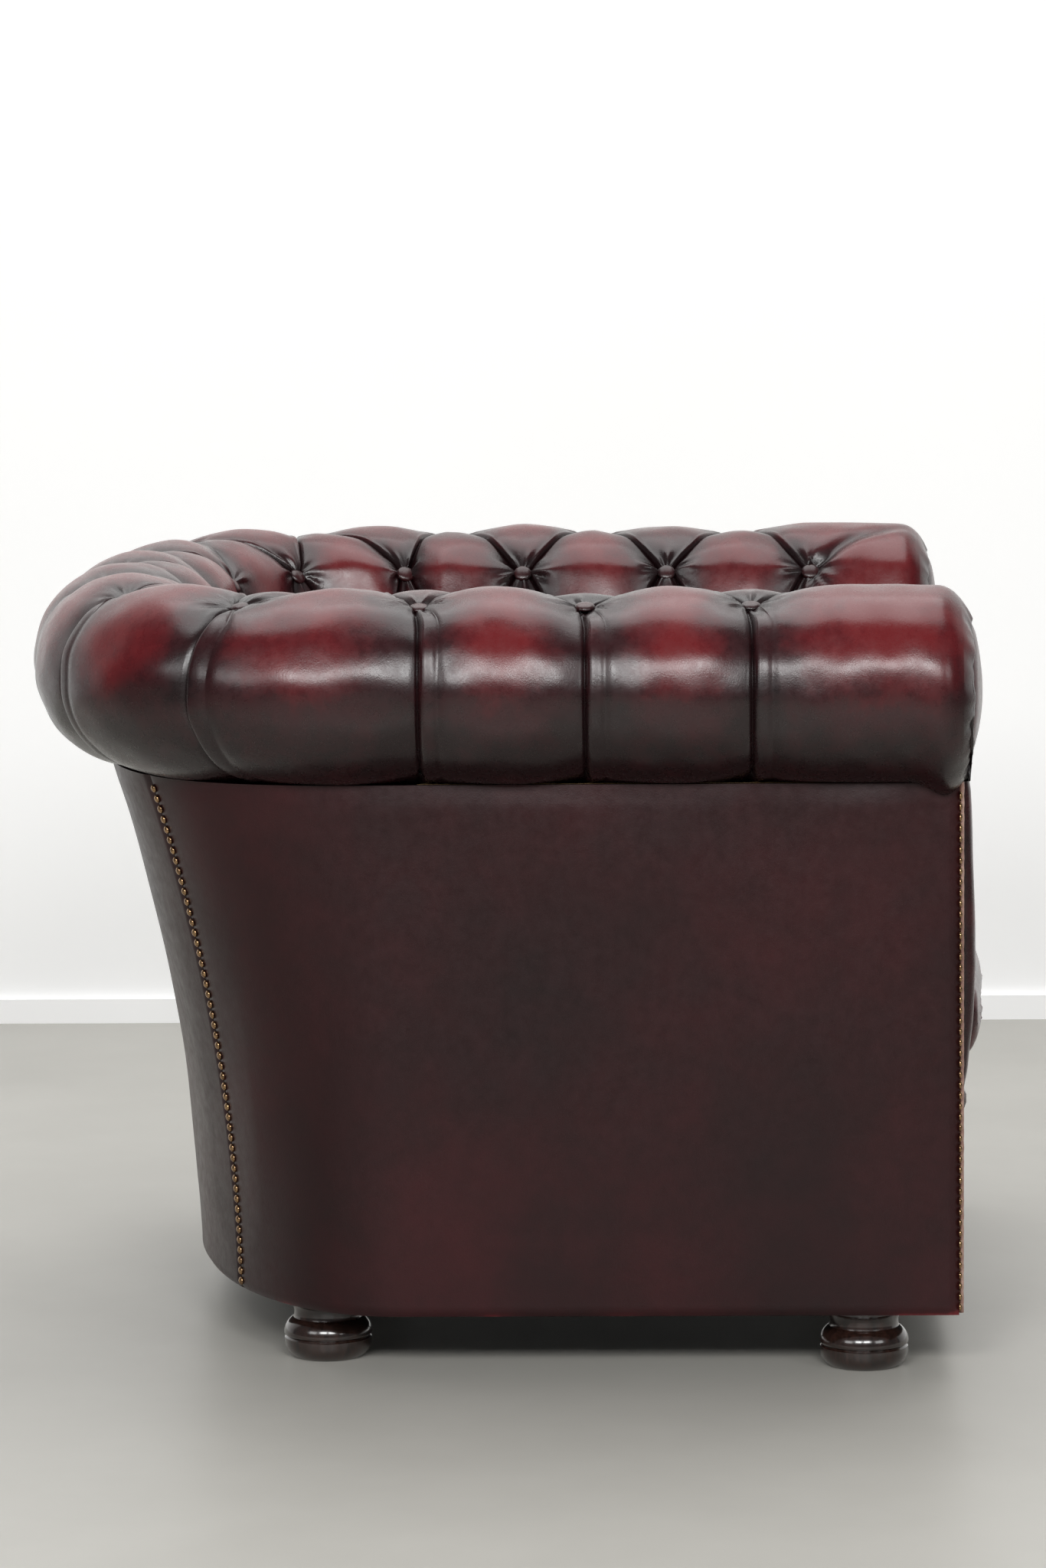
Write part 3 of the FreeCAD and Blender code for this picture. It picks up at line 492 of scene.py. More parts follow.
def arc(a, m, b, t):
    # points on the circle through a, m and b
    (ax, az), (mx, mz), (bx, bz) = a, m, b
    d = 2 * (ax * (mz - bz) + mx * (bz - az) + bx * (az - mz))
    d = np.where(np.abs(d) < 1e-9, 1e-9, d)
    a2, m2, b2 = ax ** 2 + az ** 2, mx ** 2 + mz ** 2, bx ** 2 + bz ** 2
    cx = (a2 * (mz - bz) + m2 * (bz - az) + b2 * (az - mz)) / d
    cz = (a2 * (bx - mx) + m2 * (ax - bx) + b2 * (mx - ax)) / d
    start = np.arctan2(az - cz, ax - cx)
    turn = np.arctan2(bz - cz, bx - cx) - start
    middle = np.arctan2(mz - cz, mx - cx) - start
    turn, middle = turn % math.tau, middle % math.tau
    turn = np.where(middle > turn, turn - math.tau, turn)
    radius = np.hypot(ax - cx, az - cz)
    angle = start + turn * t
    return cx + radius * np.cos(angle), cz + radius * np.sin(angle)


def on_roll(radius, degrees):
    angle = math.radians(degrees)
    return radius * math.sin(angle), ROLL_Z + radius * math.cos(angle)


def section(inside, v, seam_z):
    # the smooth line of the leather before it is buttoned: offset and height for each row
    crest = ROLL_RADIUS + ROLL_CROWN
    row = ROLL_RADIUS + (inside - ROLL_RADIUS) * INNER_ROW_LEAN
    one = np.ones_like(inside)
    seam = (SEAM_R * one, seam_z * one)
    outer = tuple(c * one for c in on_roll(ROLL_RADIUS, 90))
    top = tuple(c * one for c in on_roll(crest, TOP_ROW_ANGLE))
    upper = tuple(c * one for c in on_roll(crest, CREST_ANGLE))
    side = tuple(c * one for c in on_roll(crest, SIDE_ROW_ANGLE))
    cheek = (-(crest + CHEEK_FULL) * one, (ROLL_Z - CHEEK_DROP) * one)
    inner = (-row, INNER_ROW_Z * one)
    belly = (-(inside - BELLY_IN), BELLY_Z * one)
    foot = (-(inside - FOOT_IN), LEATHER_BOTTOM_Z * one)
    r = np.zeros_like(inside)
    z = np.zeros_like(inside)
    arcs = ((seam, outer, top), (top, upper, side), (side, cheek, inner), (inner, belly, foot))
    for index, (a, m, b) in enumerate(arcs):
        t = v - (index - 1)
        here = (t >= 0) & (t <= 1)
        ar, az = arc(a, m, b, t)
        r = np.where(here, ar, r)
        z = np.where(here, az, z)
    return r, z


ROW_COUNTS = (78, 42, 40, 66)
ROW_LENGTHS = (0.252, 0.114, 0.106, 0.332)
ROW_RUNS = np.concatenate([[-ROW_LENGTHS[0]], [0], np.cumsum(ROW_LENGTHS[1:])])
COLUMNS = 28
END_COLUMNS, END_SPACING = 44, 1.15
FOLD_HALF = 0.028
PLEAT_WIDTH = 0.125
UPRIGHT_ROWS = 0.22
NO_FOLD = 9.0

# How deep the folds run, all in metres: along them, more close to a row of buttons, and how far that goes
FOLD_OUTSIDE = (0.0080, 0.0095, 0.036)
FOLD_INSIDE = (0.0065, 0.0100, 0.045)
FOLD_FADE = 1.25
DIAMOND_FOLD = (0.0085, 0.0090)
SOFT_FOLD = 0.0030
SOFT_FOLD_REACH = 0.0035
CENTRE_EXTRA = 0.0015
BUTTON_SEAT = 0.0005
INNER_FADE = 0.12
DIAMOND_RISE = 0.55
SWELL, SWELL_UPRIGHT = 0.62, 0.26
SLIT, SLIT_REACH = 0.0024, 0.0015
SOFT_SLIT, SOFT_SLIT_REACH = 0.0010, 0.004
LIP, LIP_PLACE, LIP_REACH = 0.0016, 0.0042, 0.0022
PULL, PULL_PLACE, PULL_REACH, PULL_K = 0.0010, 0.019, 0.011, 0.4
RAYS = (9, 14)
CREASE_FIRST_K, CREASE_K, CREASE_REACH = 6.5, 0.7, 0.012
CREASE_DEPTH, CREASE_END, CREASE_RISE, CREASE_TURN = 0.0065, 0.0012, 0.55, 0.55
UNEVEN = ((0.0016, 5, (0.31, 0.19)), (0.0006, 8, (0.06, 0.04)))
SECTION_SMOOTHING = 6

# The crown attribute: 1 on the pillows, and what is left of it in folds, towards the seam, down the
# inside and at the front edge, with the rows or pitches over which it falls. The fall in the folds is
# partly antique finish and partly painted shade; the fall towards the seam, down the inside and at the
# front edge is painted shade.
ANTIQUE_AND_SHADE_DEPTH = 0.0115
PLEAT_ANTIQUE_AND_SHADE, FOLD_ANTIQUE_AND_SHADE = 0.15, 0.34
SEAM_PAINTED_SHADE, SEAM_PAINTED_SHADE_V, SEAM_PAINTED_SHADE_ROWS = 0.12, -0.74, 0.46
SEAT_PAINTED_SHADE, SEAT_PAINTED_SHADE_V, SEAT_PAINTED_SHADE_ROWS = 0.5, 2.2, 0.6
FRONT_PAINTED_SHADE, FRONT_PAINTED_SHADE_K = 0.7, 0.18
RIM_PAINTED_SHADE, GATHER_PAINTED_LIGHT_AND_SHADE = 0.6, 90

# The roll's front end: its lobe drops the seam, and its dome turns in to the facing
LOBE_K, LOBE_GROW_K, LOBE_DROP, LOBE_OUT = 0.30, 0.24, 0.013, 0.0045
DOME_START = 0.024
DOME_LENGTH = 0.045
DOME_LAST = 0.035
DOME_POWER = 2.5
RIM_STEPS = 20
RIM_TUCK = 0.85
TUCK_IN, TUCK_BACK = 0.004, 0.005
FINE_GATHER, WIDE_GATHER = (0.0125, 0.0006), (0.034, 0.0012)
CORE_AHEAD = 0.010


def row_values():
    values = [-1.0]
    for index, count in enumerate(ROW_COUNTS):
        t = np.arange(1, count + 1) / count
        values += list(index - 1 + t)
    return np.array(values)


def run_down(v):
    # length run down the leather from the top row of buttons
    return np.interp(v, [-1, 0, 1, 2, 3], ROW_RUNS)


def ease(t):
    t = np.clip(t, 0, 1)
    return t * t * (3 - 2 * t)


def dome_inset(ahead):
    # how far the front end of the roll has drawn in, so far ahead of where its dome starts
    return ROLL_RADIUS * (1 - np.sqrt(1 - (ahead / DOME_LENGTH) ** DOME_POWER))


def upright_share(v):
    # 0 between the button rows, 1 where the pleats run straight down to the seam or the seat
    return ease(np.where(v < 0, -v, v - 2) / UPRIGHT_ROWS)


def strip_edges(v, whole):
    # the two folds of the strip round a whole k: close together at rows 0 and 2, nearly a pitch apart at
    # row 1. Where the pleats run straight, the rear fold stays crisp and the other drifts forward.
    rise = np.clip(np.where(v < 1, v, 2 - v), 0, 1)
    half = FOLD_HALF + (0.5 - 2 * FOLD_HALF) * rise
    share = upright_share(v)
    rear = half * (1 - share)
    front = half * (1 - share) + PLEAT_WIDTH * share
    left = np.where(whole >= 0, whole - rear, whole - front)
    return left, np.where(whole >= 0, whole + front, whole + rear)


def columns():
    # each column: kind, whole k, share across its strip
    shares = (1 - np.cos(np.pi * np.arange(COLUMNS + 1) / COLUMNS)) / 2
    front = np.linspace(0, 1, END_COLUMNS) ** END_SPACING
    found = [("left_end", -LAST_BUTTON, 1 - s) for s in front[::-1]]
    for k in range(-LAST_BUTTON, LAST_BUTTON + 1):
        found += [("round", k, s) for s in shares[1:]]
        if k < LAST_BUTTON:
            found += [("between", k, s) for s in shares[1:]]
    found += [("right_end", LAST_BUTTON, s) for s in front[1:]]
    return found


def button_ks(row):
    # k of each button in a row; the middle row stands half a pitch off
    last = LAST_BUTTON + (0.5 if row == 1 else 0)
    return [float(k) for k in np.arange(-last, last + 0.1, 1.0)]


class Pleats:
    # the leather's grid: the row and k of every point, the strip between two folds that it lies in, and
    # how far off those folds are. A fold is crisp, but the front one of an upright pleat is soft.
    def __init__(self):
        found = columns()
        kind = np.array([c[0] for c in found])[None, :]
        whole = np.array([float(c[1]) for c in found])[None, :]
        share = np.array([c[2] for c in found])[None, :]
        left_end, right_end = kind == "left_end", kind == "right_end"
        v = row_values()[:, None] * np.ones_like(whole)
        here_left, here_right = strip_edges(v, whole)
        next_left = strip_edges(v, whole + 1)[0]
        on_button = (kind == "round") * np.ones_like(v, bool)
        low = np.where(on_button, here_left, here_right)
        low = np.where(left_end, -FRONT_K, low)
        high = np.where(on_button, here_right, next_left)
        high = np.where(left_end, here_left, high)
        high = np.where(right_end, FRONT_K, high)
        width = high - low
        left_soft = (on_button & (whole < 0)) | (~on_button & (whole >= 0))
        right_soft = (on_button & (whole >= 0)) | (~on_button & (whole < -1))
        self.v, self.share, self.on_button = v, share, on_button
        self.k = low + width * share
        self.ends = (left_end | right_end) * np.ones_like(v, bool)
        self.left_soft = np.where(left_end, False, left_soft)
        self.right_soft = np.where(left_end, True, right_soft)
        self.to_left = np.where(left_end, NO_FOLD, width * share)
        self.to_right = np.where(right_end, NO_FOLD, width * (1 - share))
        self.upright = upright_share(v)
        nearer = np.minimum(self.to_left, self.to_right)
        lift = np.where(self.ends, np.minimum(nearer / 0.5, 1) / 2, share)
        self.near_fold = nearer * PITCH
        self.swell = np.sin(np.pi * lift).clip(0, 1) ** (SWELL + SWELL_UPRIGHT * self.upright)


def fold_depth(v):
    # how deep the folds run below the smooth line, row by row
    def fading(fold, run):
        depth, more, reach = fold
        return depth + more * np.exp(-(run / reach) ** FOLD_FADE)

    outside = fading(FOLD_OUTSIDE, np.maximum(-v, 0) * ROW_LENGTHS[0])
    inside = fading(FOLD_INSIDE, np.maximum(v - 2, 0) * ROW_LENGTHS[3])
    diamond = DIAMOND_FOLD[0] + DIAMOND_FOLD[1] * np.abs(np.cos(np.pi * v)) ** 1.5
    return np.where(v < 0, outside, np.where(v > 2, inside, diamond))


def buttoned_depth(p):
    # how far the leather lies below the smooth line, pulled down at its buttons and folds
    v = p.v
    deep = fold_depth(v)
    soft = deep * (1 - p.upright) + SOFT_FOLD * p.upright
    left_depth = np.where(p.left_soft, soft, deep)
    right_depth = np.where(p.right_soft, soft, deep)
    edge = np.where(p.to_left < p.to_right, left_depth, right_depth)
    edge = np.where(p.on_button, left_depth + (right_depth - left_depth) * p.share, edge)
    turn = np.pi * np.clip(v, 0, 2) / 2
    rise = np.sin(turn).clip(0, 1) ** DIAMOND_RISE
    dip = np.abs(np.cos(turn)) ** DIAMOND_RISE
    at_button = BUTTON_SINK + BUTTON_SEAT
    among_rows = (v > 0) & (v < 2)
    centre = np.where(among_rows, at_button * (1 - dip), 0.0)
    centre = np.where(p.ends, 0.0, centre)
    round_centre = np.where(among_rows, at_button * (1 - rise), deep + CENTRE_EXTRA)
    centre = np.where(p.on_button, round_centre, centre)
    depth = centre + (edge - centre) * (1 - p.swell)
    depth = depth * (1 - INNER_FADE * np.clip(v - 1, 0, 1))
    to_rear = np.where(p.left_soft, p.to_right, p.to_left) * PITCH
    flat_pleat = SOFT_FOLD + (deep - SOFT_FOLD) * np.exp(-(to_rear / SOFT_FOLD_REACH) ** 2)
    return np.where(p.on_button, depth * (1 - p.upright) + flat_pleat * p.upright, depth)


def folded_edge(p):
    # a narrow slit along every fold, and a lip on the upper side of the folds between buttons
    v = p.v
    crisp = np.where(p.to_left < p.to_right, ~p.left_soft, ~p.right_soft) | (p.upright < 0.02)
    slit = np.where(crisp, SLIT * np.exp(-(p.near_fold / SLIT_REACH) ** 2),
                    SOFT_SLIT * np.exp(-(p.near_fold / SOFT_SLIT_REACH) ** 2))
    upper_side = np.where(v < 1, ~p.on_button, p.on_button)
    off_rows = np.minimum(np.abs(v), np.minimum(np.abs(v - 1), np.abs(v - 2)))
    fade = np.clip(off_rows * 8, 0, 1) * (1 - p.upright)
    lip = LIP * np.exp(-((p.near_fold - LIP_PLACE) / LIP_REACH) ** 2) * upper_side * fade
    return slit - lip


def button_pulls(k, down):
    # short gathers that run out from every button
    depth = np.zeros_like(k)
    for row in range(3):
        for button_k in button_ks(row):
            dx = (k - button_k) * PITCH
            dy = down - run_down(row)
            turn = np.arctan2(dy, dx)
            seed = (math.ceil(button_k) * 7 + row * 3) % 11
            rays = np.sin(turn * RAYS[0] + seed) + 0.7 * np.sin(turn * RAYS[1] + 2.3 * seed)
            ring = np.exp(-((np.hypot(dx, dy) - PULL_PLACE) / PULL_REACH) ** 2)
            depth += (np.abs(k - button_k) < PULL_K) * PULL * rays * ring
    return depth


def front_crease(k, v):
    # the crease that runs from the last button of the side row to the front edge
    forward = np.clip((np.abs(k) - CREASE_FIRST_K) / CREASE_K, 0, 1)
    row = 1.0 - CREASE_RISE * np.sin(np.pi * forward * CREASE_TURN)
    crease = np.exp(-((v - row) * ROW_LENGTHS[1] / CREASE_REACH) ** 2)
    crease = crease * (np.abs(k) > CREASE_FIRST_K)
    return CREASE_DEPTH * crease * (1 - forward) ** 0.6 + CREASE_END * crease


def antique_and_painted_shade(p, raised):
    # the crown attribute: high on the pillows, low in the folds, towards the seam and down the inside. In
    # the folds that is partly antique finish and partly painted shade; towards the seam, down the inside
    # and at the front edge it is painted shade.
    k, v = p.k, p.v
    puffed = np.where(p.on_button & ((v < 0) | (v > 2)), PLEAT_ANTIQUE_AND_SHADE, p.swell ** 0.9)
    across = np.where((v > 0) & (v < 2), 1.0, FOLD_ANTIQUE_AND_SHADE + (1 - FOLD_ANTIQUE_AND_SHADE) * puffed)
    outside = SEAM_PAINTED_SHADE + (1 - SEAM_PAINTED_SHADE) * ease((v - SEAM_PAINTED_SHADE_V) / SEAM_PAINTED_SHADE_ROWS)
    seat_side = 1 - (1 - SEAT_PAINTED_SHADE) * ease((v - SEAT_PAINTED_SHADE_V) / SEAT_PAINTED_SHADE_ROWS)
    front = 1 - (1 - FRONT_PAINTED_SHADE) * np.clip(1 - (FRONT_K - np.abs(k)) / FRONT_PAINTED_SHADE_K, 0, 1)
    return np.clip(1.0 + raised / ANTIQUE_AND_SHADE_DEPTH, 0, 1) * across * outside * seat_side * front


def tufted_surface():
    p = Pleats()
    k, v = p.k, p.v
    across, down = k * PITCH, run_down(v)
    depth = buttoned_depth(p) + folded_edge(p) + button_pulls(k, down) + front_crease(k, v)
    uneven = sum(size * waves(across, down, seed, scales) for size, seed, scales in UNEVEN)
    raised = uneven * np.clip((v + 1) * 4, 0, 1) - depth
    ahead = np.clip((np.abs(k) - FRONT_K) * PITCH + DOME_START, 0, DOME_START)
    height = raised - dome_inset(ahead)

    stations = Stations(k)
    lobe = ease((np.abs(k) - (FRONT_K - LOBE_K)) / LOBE_GROW_K)
    r, z = section(stations.inside, v, SEAM_Z - LOBE_DROP * lobe)
    for _ in range(SECTION_SMOOTHING):
        r[1:-1] = r[1:-1] / 2 + (r[2:] + r[:-2]) / 4
        z[1:-1] = z[1:-1] / 2 + (z[2:] + z[:-2]) / 4
    r = r + LOBE_OUT * lobe * np.clip(1 - (v + 1) * 5, 0, 1)
    dr, dz = np.gradient(r, axis=0), np.gradient(z, axis=0)
    size = np.hypot(dr, dz)
    out_r, out_z = dz / size, -dr / size
    points = stations.point(r + out_r * height, z + out_z * height)
    return k, v, points, antique_and_painted_shade(p, raised), (out_r, out_z, stations, r, z, height)


def front_rim(v, sheet, column, shade):
    # the leather turns over the front edge of the roll and is gathered under the facing
    out_r, out_z, stations, r, z, height = sheet
    down = run_down(v[:, column])
    turned, crowns = [], []
    for step in range(1, RIM_STEPS + 1):
        t = step / RIM_STEPS
        along = (DOME_LAST - DOME_START) * min(1.0, t / RIM_TUCK)
        tuck = max(0.0, t - RIM_TUCK) / (1 - RIM_TUCK)
        inset = dome_inset(DOME_START + along) - dome_inset(DOME_START) + TUCK_IN * tuck
        ahead = along - TUCK_BACK * tuck
        gather = np.sin(down / FINE_GATHER[0] * math.pi + 1.3 * np.sin(down * 37)) * FINE_GATHER[1] * t
        gather += np.sin(down / WIDE_GATHER[0] * math.pi + 0.7) * WIDE_GATHER[1] * t
        h = height[:, column] - inset + gather
        reach = (r[:, column] + out_r[:, column] * h) * stations.stretch[:, column]
        x = stations.x[:, column] + stations.ux[:, column] * reach
        y = stations.y[:, column] - ahead - 0.8 * gather
        turned.append(np.stack([x, y, z[:, column] + out_z[:, column] * h], -1))
        # painted shade as the rim turns under the facing, and painted light and shade on the gathers:
        # lighter on their ridges, darker in their hollows
        crowns.append(np.clip(shade * (1 - (1 - RIM_PAINTED_SHADE) * t) + gather * GATHER_PAINTED_LIGHT_AND_SHADE, 0, 1))
    return turned, crowns


# The hidden inner side of the wadding where it lies on the roll: offset and height from its centre line
CORE_ON_ROLL = ((-0.072, 0), (-0.050, 0.045), (0, 0.066), (0.049, 0.046), (0.070, 0), (0.057, -0.051))
CORE_SEAM_R, CORE_SEAM_RISE = 0.014, 0.015
CORE_GAP = 0.002


def core_points(inside):
    # that side from the seat up and over to the outside
    one = np.ones_like(inside)
    inner = inside - FACING_INSET
    row = CORE_RADIUS - CORE_GAP + (inside - ROLL_RADIUS) * INNER_ROW_LEAN
    line = [(-inner, LEATHER_BOTTOM_Z * one), (-inner, BELLY_Z * one), (-row, INNER_ROW_Z * one)]
    line += [(r * one, (ROLL_Z + z) * one) for r, z in CORE_ON_ROLL]
    line += [(CORE_SEAM_R * one, (SEAM_Z + rise) * one) for rise in (CORE_SEAM_RISE, 0)]
    return line


def make_tufted():
    k, v, points, crown, sheet = tufted_surface()
    right, right_crown = front_rim(v, sheet, -1, crown[:, -1])
    left, left_crown = front_rim(v, sheet, 0, crown[:, 0])
    points = np.concatenate([np.stack(left[::-1], 1), points, np.stack(right, 1)], 1)
    crown = np.concatenate([np.stack(left_crown[::-1], 1), crown, np.stack(right_crown, 1)], 1)
    top_row = np.argmin(np.abs(v[:, 0]))
    ks = np.concatenate([np.full(len(left), -FRONT_K), k[top_row], np.full(len(right), FRONT_K)])
    stations = Stations(ks)
    inner = np.stack([stations.point(r, z) for r, z in core_points(stations.inside)], 0)
    inner[:, :len(left), 1] -= CORE_AHEAD * np.linspace(1, 0, len(left))
    inner[:, -len(right):, 1] -= CORE_AHEAD * np.linspace(0, 1, len(right))
    loop = np.concatenate([points, inner], 0)
    loop_crown = np.concatenate([crown, np.zeros(inner.shape[:2])], 0)
    normals = grid_normals(loop)

    # it is parted on the fold lines nearest the joint buttons, and the pieces share their normals there
    off_joint = np.abs(np.abs(ks) - JOINT_BUTTON) > 1e-6
    joint = [int(np.argmin(np.abs(ks - side * JOINT_BUTTON) + off_joint)) for side in (-1, 1)]
    for name, node_name, first, last in (("tufted_arm_left", "arm_leather_left", 0, joint[0]),
                                         ("tufted_back", "back_leather", joint[0], joint[1]),
                                         ("tufted_arm_right", "arm_leather_right", joint[1], len(ks) - 1)):
        span = slice(first, last + 1)
        piece = put(name, loop[:, span].reshape(-1, 3), grid_faces(len(loop), last - first + 1), OXBLOOD)
        set_crown(piece, loop_crown[:, span].reshape(-1))
        bm = bmesh.new()
        bm.from_mesh(piece.data)
        volume = bm.calc_volume(signed=True)
        bm.free()
        if volume < 0:
            piece.data.flip_normals()
        piece.data.update()
        facing = normals[:, span].reshape(-1, 3)
        plain = np.array([vert.normal for vert in piece.data.vertices])
        if np.sum(plain * facing) < 0:
            facing = -facing
        piece.data.normals_split_custom_set_from_vertices(facing.tolist())
        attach(piece, "chair")
        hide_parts(node_name)


make_tufted()


# Covered buttons: a low dome with a pinched edge, one mesh copied to every place

PINCHES, PINCH = 9, 0.02
BUTTON_FOOT = 0.0012
BUTTON_DOME = BUTTON_HEIGHT - 0.0015
BUTTON_TURN = 1.7
BUTTON_FOOT_PAINTED_SHADE, BUTTON_TOP_PAINTED_LIGHT = 0.25, 0.6


def button_mesh():
    deselect()
    bpy.ops.mesh.primitive_uv_sphere_add(segments=28, ring_count=14, radius=1.0)
    made = bpy.context.object
    for vert in made.data.vertices:
        x, y, z = vert.co
        turn = math.atan2(y, x)
        wide = BUTTON_RADIUS * (1 + PINCH * math.sin(PINCHES * turn) * math.hypot(x, y) ** 4)
        dome = z ** 0.8 if z > 0 else z * 0.35
        vert.co = (x * wide, y * wide, BUTTON_FOOT + dome * BUTTON_DOME)
    return made


def button_place(row, k):
    stations = Stations(np.array([k]))
    angle = (TOP_ROW_ANGLE, SIDE_ROW_ANGLE, INNER_ROW_ANGLE)[row]
    if row < 2:
        r, z = on_roll(ROLL_RADIUS + ROLL_CROWN - BUTTON_SINK, angle)
    else:
        inside = float(stations.inside[0])
        r = -(ROLL_RADIUS + (inside - ROLL_RADIUS) * INNER_ROW_LEAN - INNER_SINK)
        z = INNER_ROW_Z
    place = stations.point(np.array([r]), np.array([z]))[0]
    a = math.radians(angle)
    out_x, out_y = float(stations.ux[0]), float(stations.uy[0])
    return Vector(place), Vector((out_x * math.sin(a), out_y * math.sin(a), math.cos(a))).normalized()


def make_buttons():
    pattern = button_mesh()
    groups = {"back": [], "arm_right": [], "arm_left": []}
    for row in range(3):
        for k in button_ks(row):
            group = "arm_right" if k > 0 else "arm_left"
            if abs(k) < JOINT_BUTTON + 0.1:
                group = "back"
            groups[group].append(button_place(row, k))
    # painted light and shade: each button is darker at its foot, sunk in the dimple, and lighter towards
    # its top
    painted_light_and_shade = [min(1.0, BUTTON_FOOT_PAINTED_SHADE + vert.co.z / BUTTON_HEIGHT * BUTTON_TOP_PAINTED_LIGHT)
              for vert in pattern.data.vertices]
    for group, places in groups.items():
        verts, faces = copies(pattern, places, spin=BUTTON_TURN)
        piece = put(f"buttons_{group}", verts, faces, SLOT_MATERIALS["button_leather"])
        set_crown(piece, painted_light_and_shade * len(places))
        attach(piece, "chair")
        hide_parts("back_buttons" if group == "back" else group.replace("arm", "arm_buttons"))
    bpy.data.objects.remove(pattern)


make_buttons()


# Dome nails: one low dome copied down each rear corner and each front edge

NAIL_RADIUS = 0.0043
NAIL_HEIGHT = 0.0030
NAIL_UNDER = 0.0004
NAIL_COUNT = 49
FRONT_NAIL_X = 0.432
NAIL_LINE = NAIL_LINE_K + NAIL_INSET / PITCH


def nail_mesh():
    deselect()
    bpy.ops.mesh.primitive_uv_sphere_add(segments=10, ring_count=6, radius=1.0)
    made = bpy.context.object
    for vert in made.data.vertices:
        x, y, z = vert.co
        vert.co = (x * NAIL_RADIUS, y * NAIL_RADIUS, z * (NAIL_HEIGHT if z > 0 else NAIL_UNDER))
    return made


def nail_places(row, side):
    # the front nails face straight forward, and the rear ones lie flat on the outside panel
    heights = [NAIL_START_Z + NAIL_PITCH * i for i in range(NAIL_COUNT)]
    if row == "front":
        return [(Vector((side * FRONT_NAIL_X, ARM_FRONT_Y, z)), Vector((0.0, -1.0, 0.0)))
                for z in heights]
    line = Stations(np.array([-side * NAIL_LINE]))
    out_x, out_y = float(line.ux[0]), float(line.uy[0])
    level = Vector((out_y, -out_x, 0.0))
    places = []
    for z in heights:
        here, above = [line.point(line.panel(at), at)[0]
                       for at in (np.array([z]), np.array([z + NAIL_RADIUS]))]
        normal = level.cross(Vector(above - here)).normalized()
        if normal.dot(Vector((out_x, out_y, 0.0))) < 0:
            normal = -normal
        places.append((Vector(here), normal))
    return places


def make_nails():
    pattern = nail_mesh()
    for label, side in (("right", -1.0), ("left", 1.0)):
        for row in ("rear", "front"):
            verts, faces = copies(pattern, nail_places(row, side))
            piece = put(f"nails_{row}_{label}", verts, faces, SLOT_MATERIALS["nail_brass"])
            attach(piece, "chair")
            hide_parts(f"{row}_nails_{label}")
    bpy.data.objects.remove(pattern)


make_nails()


# Outside panels: leather pulled over board, a little full between its nails

PANEL_STEP, PANEL_ROWS = 0.0055, 92
PANEL_EDGE, PANEL_EDGE_DROP = 0.004, 0.0035
FULL_START, FULL_RUN, FULL_TOP_RUN = 0.012, 0.06, 0.02
FULLNESS, FULLNESS_WAVE = 0.0016, 0.0008
NAIL_PULL, NAIL_PULL_BEAT, NAIL_PULL_REACH = 0.0007, 0.6, 0.007
HEM_WEAR, CORNER_WEAR = 0.004, 0.009
PANEL_SHADE, PANEL_MOTTLE, WEAR_SHADE = 0.44, 0.16, 0.6
CREASE_ANGLE = 50


def make_panel(name, node_name, k0, k1):
    wide = max(12, int((k1 - k0) * PITCH / PANEL_STEP)) + 1
    k = np.linspace(k0, k1, wide)[None, :]
    t = np.linspace(0, 1, PANEL_ROWS + 1)[:, None]
    z = (BASE_Z + (PANEL_TOP_Z - BASE_Z) * t) * np.ones_like(k)
    stations = Stations(k * np.ones_like(t))
    face = stations.panel(z)
    across = k * PITCH
    edge = np.minimum(np.minimum(k - k0, k1 - k) * PITCH, z - BASE_Z)
    roll = PANEL_EDGE_DROP * (1 - np.sqrt(1 - (1 - np.clip(edge / PANEL_EDGE, 0, 1)) ** 2))
    full = FULLNESS + FULLNESS_WAVE * waves(across, z, 21, (0.24, 0.13))
    full = full * np.clip((edge - FULL_START) / FULL_RUN, 0, 1)
    full = full * np.clip((PANEL_TOP_Z - z) / FULL_TOP_RUN, 0, 1)
    wear = np.exp(-((z - BASE_Z) / HEM_WEAR) ** 2)
    wear = wear * np.clip(2.2 * waves(across, z, 4, (0.21, 0.09)) - 0.8, 0, 1)
    pull = np.zeros_like(z)
    if node_name != "outside_back":
        for line_k in (NAIL_LINE, FRONT_K):
            off = np.abs(np.abs(k) - line_k) * PITCH
            beat = 0.5 - 0.5 * np.cos(math.tau * (z - NAIL_START_Z) / NAIL_PITCH)
            pull += NAIL_PULL * (1 - beat * NAIL_PULL_BEAT) * np.exp(-(off / NAIL_PULL_REACH) ** 2)
        corner = np.hypot((FRONT_K - np.abs(k)) * PITCH, z - BASE_Z)
        wear = np.maximum(wear, np.exp(-(corner / CORNER_WEAR) ** 2))
    outer = stations.point(face - roll + full - pull, z)
    inner = stations.point(face - PANEL_THICKNESS, z)
    loop = np.concatenate([outer, inner[::-1]], 0)
    piece = put(name, loop.reshape(-1, 3), grid_faces(len(loop), wide), SLOT_MATERIALS["panel_leather"])
    crown = PANEL_SHADE + PANEL_MOTTLE * waves(across, z, 9, (0.40, 0.22)) + WEAR_SHADE * wear
    crown = np.clip(crown, 0, 1)
    set_crown(piece, np.concatenate([crown, np.zeros_like(crown)], 0).reshape(-1))
    face_outward(piece)
    pick(piece)
    bpy.ops.object.shade_smooth_by_angle(angle=math.radians(CREASE_ANGLE))
    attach(piece, "chair")
    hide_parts(node_name)


make_panel("panel_arm_right", "outside_arm_right", NAIL_LINE_K, FRONT_K)
make_panel("panel_arm_left", "outside_arm_left", -FRONT_K, -NAIL_LINE_K)
make_panel("panel_back", "outside_back", -NAIL_LINE_K, NAIL_LINE_K)


# Scroll facings: padded leather on the arm fronts, fullest at the scroll and flat at the bottom

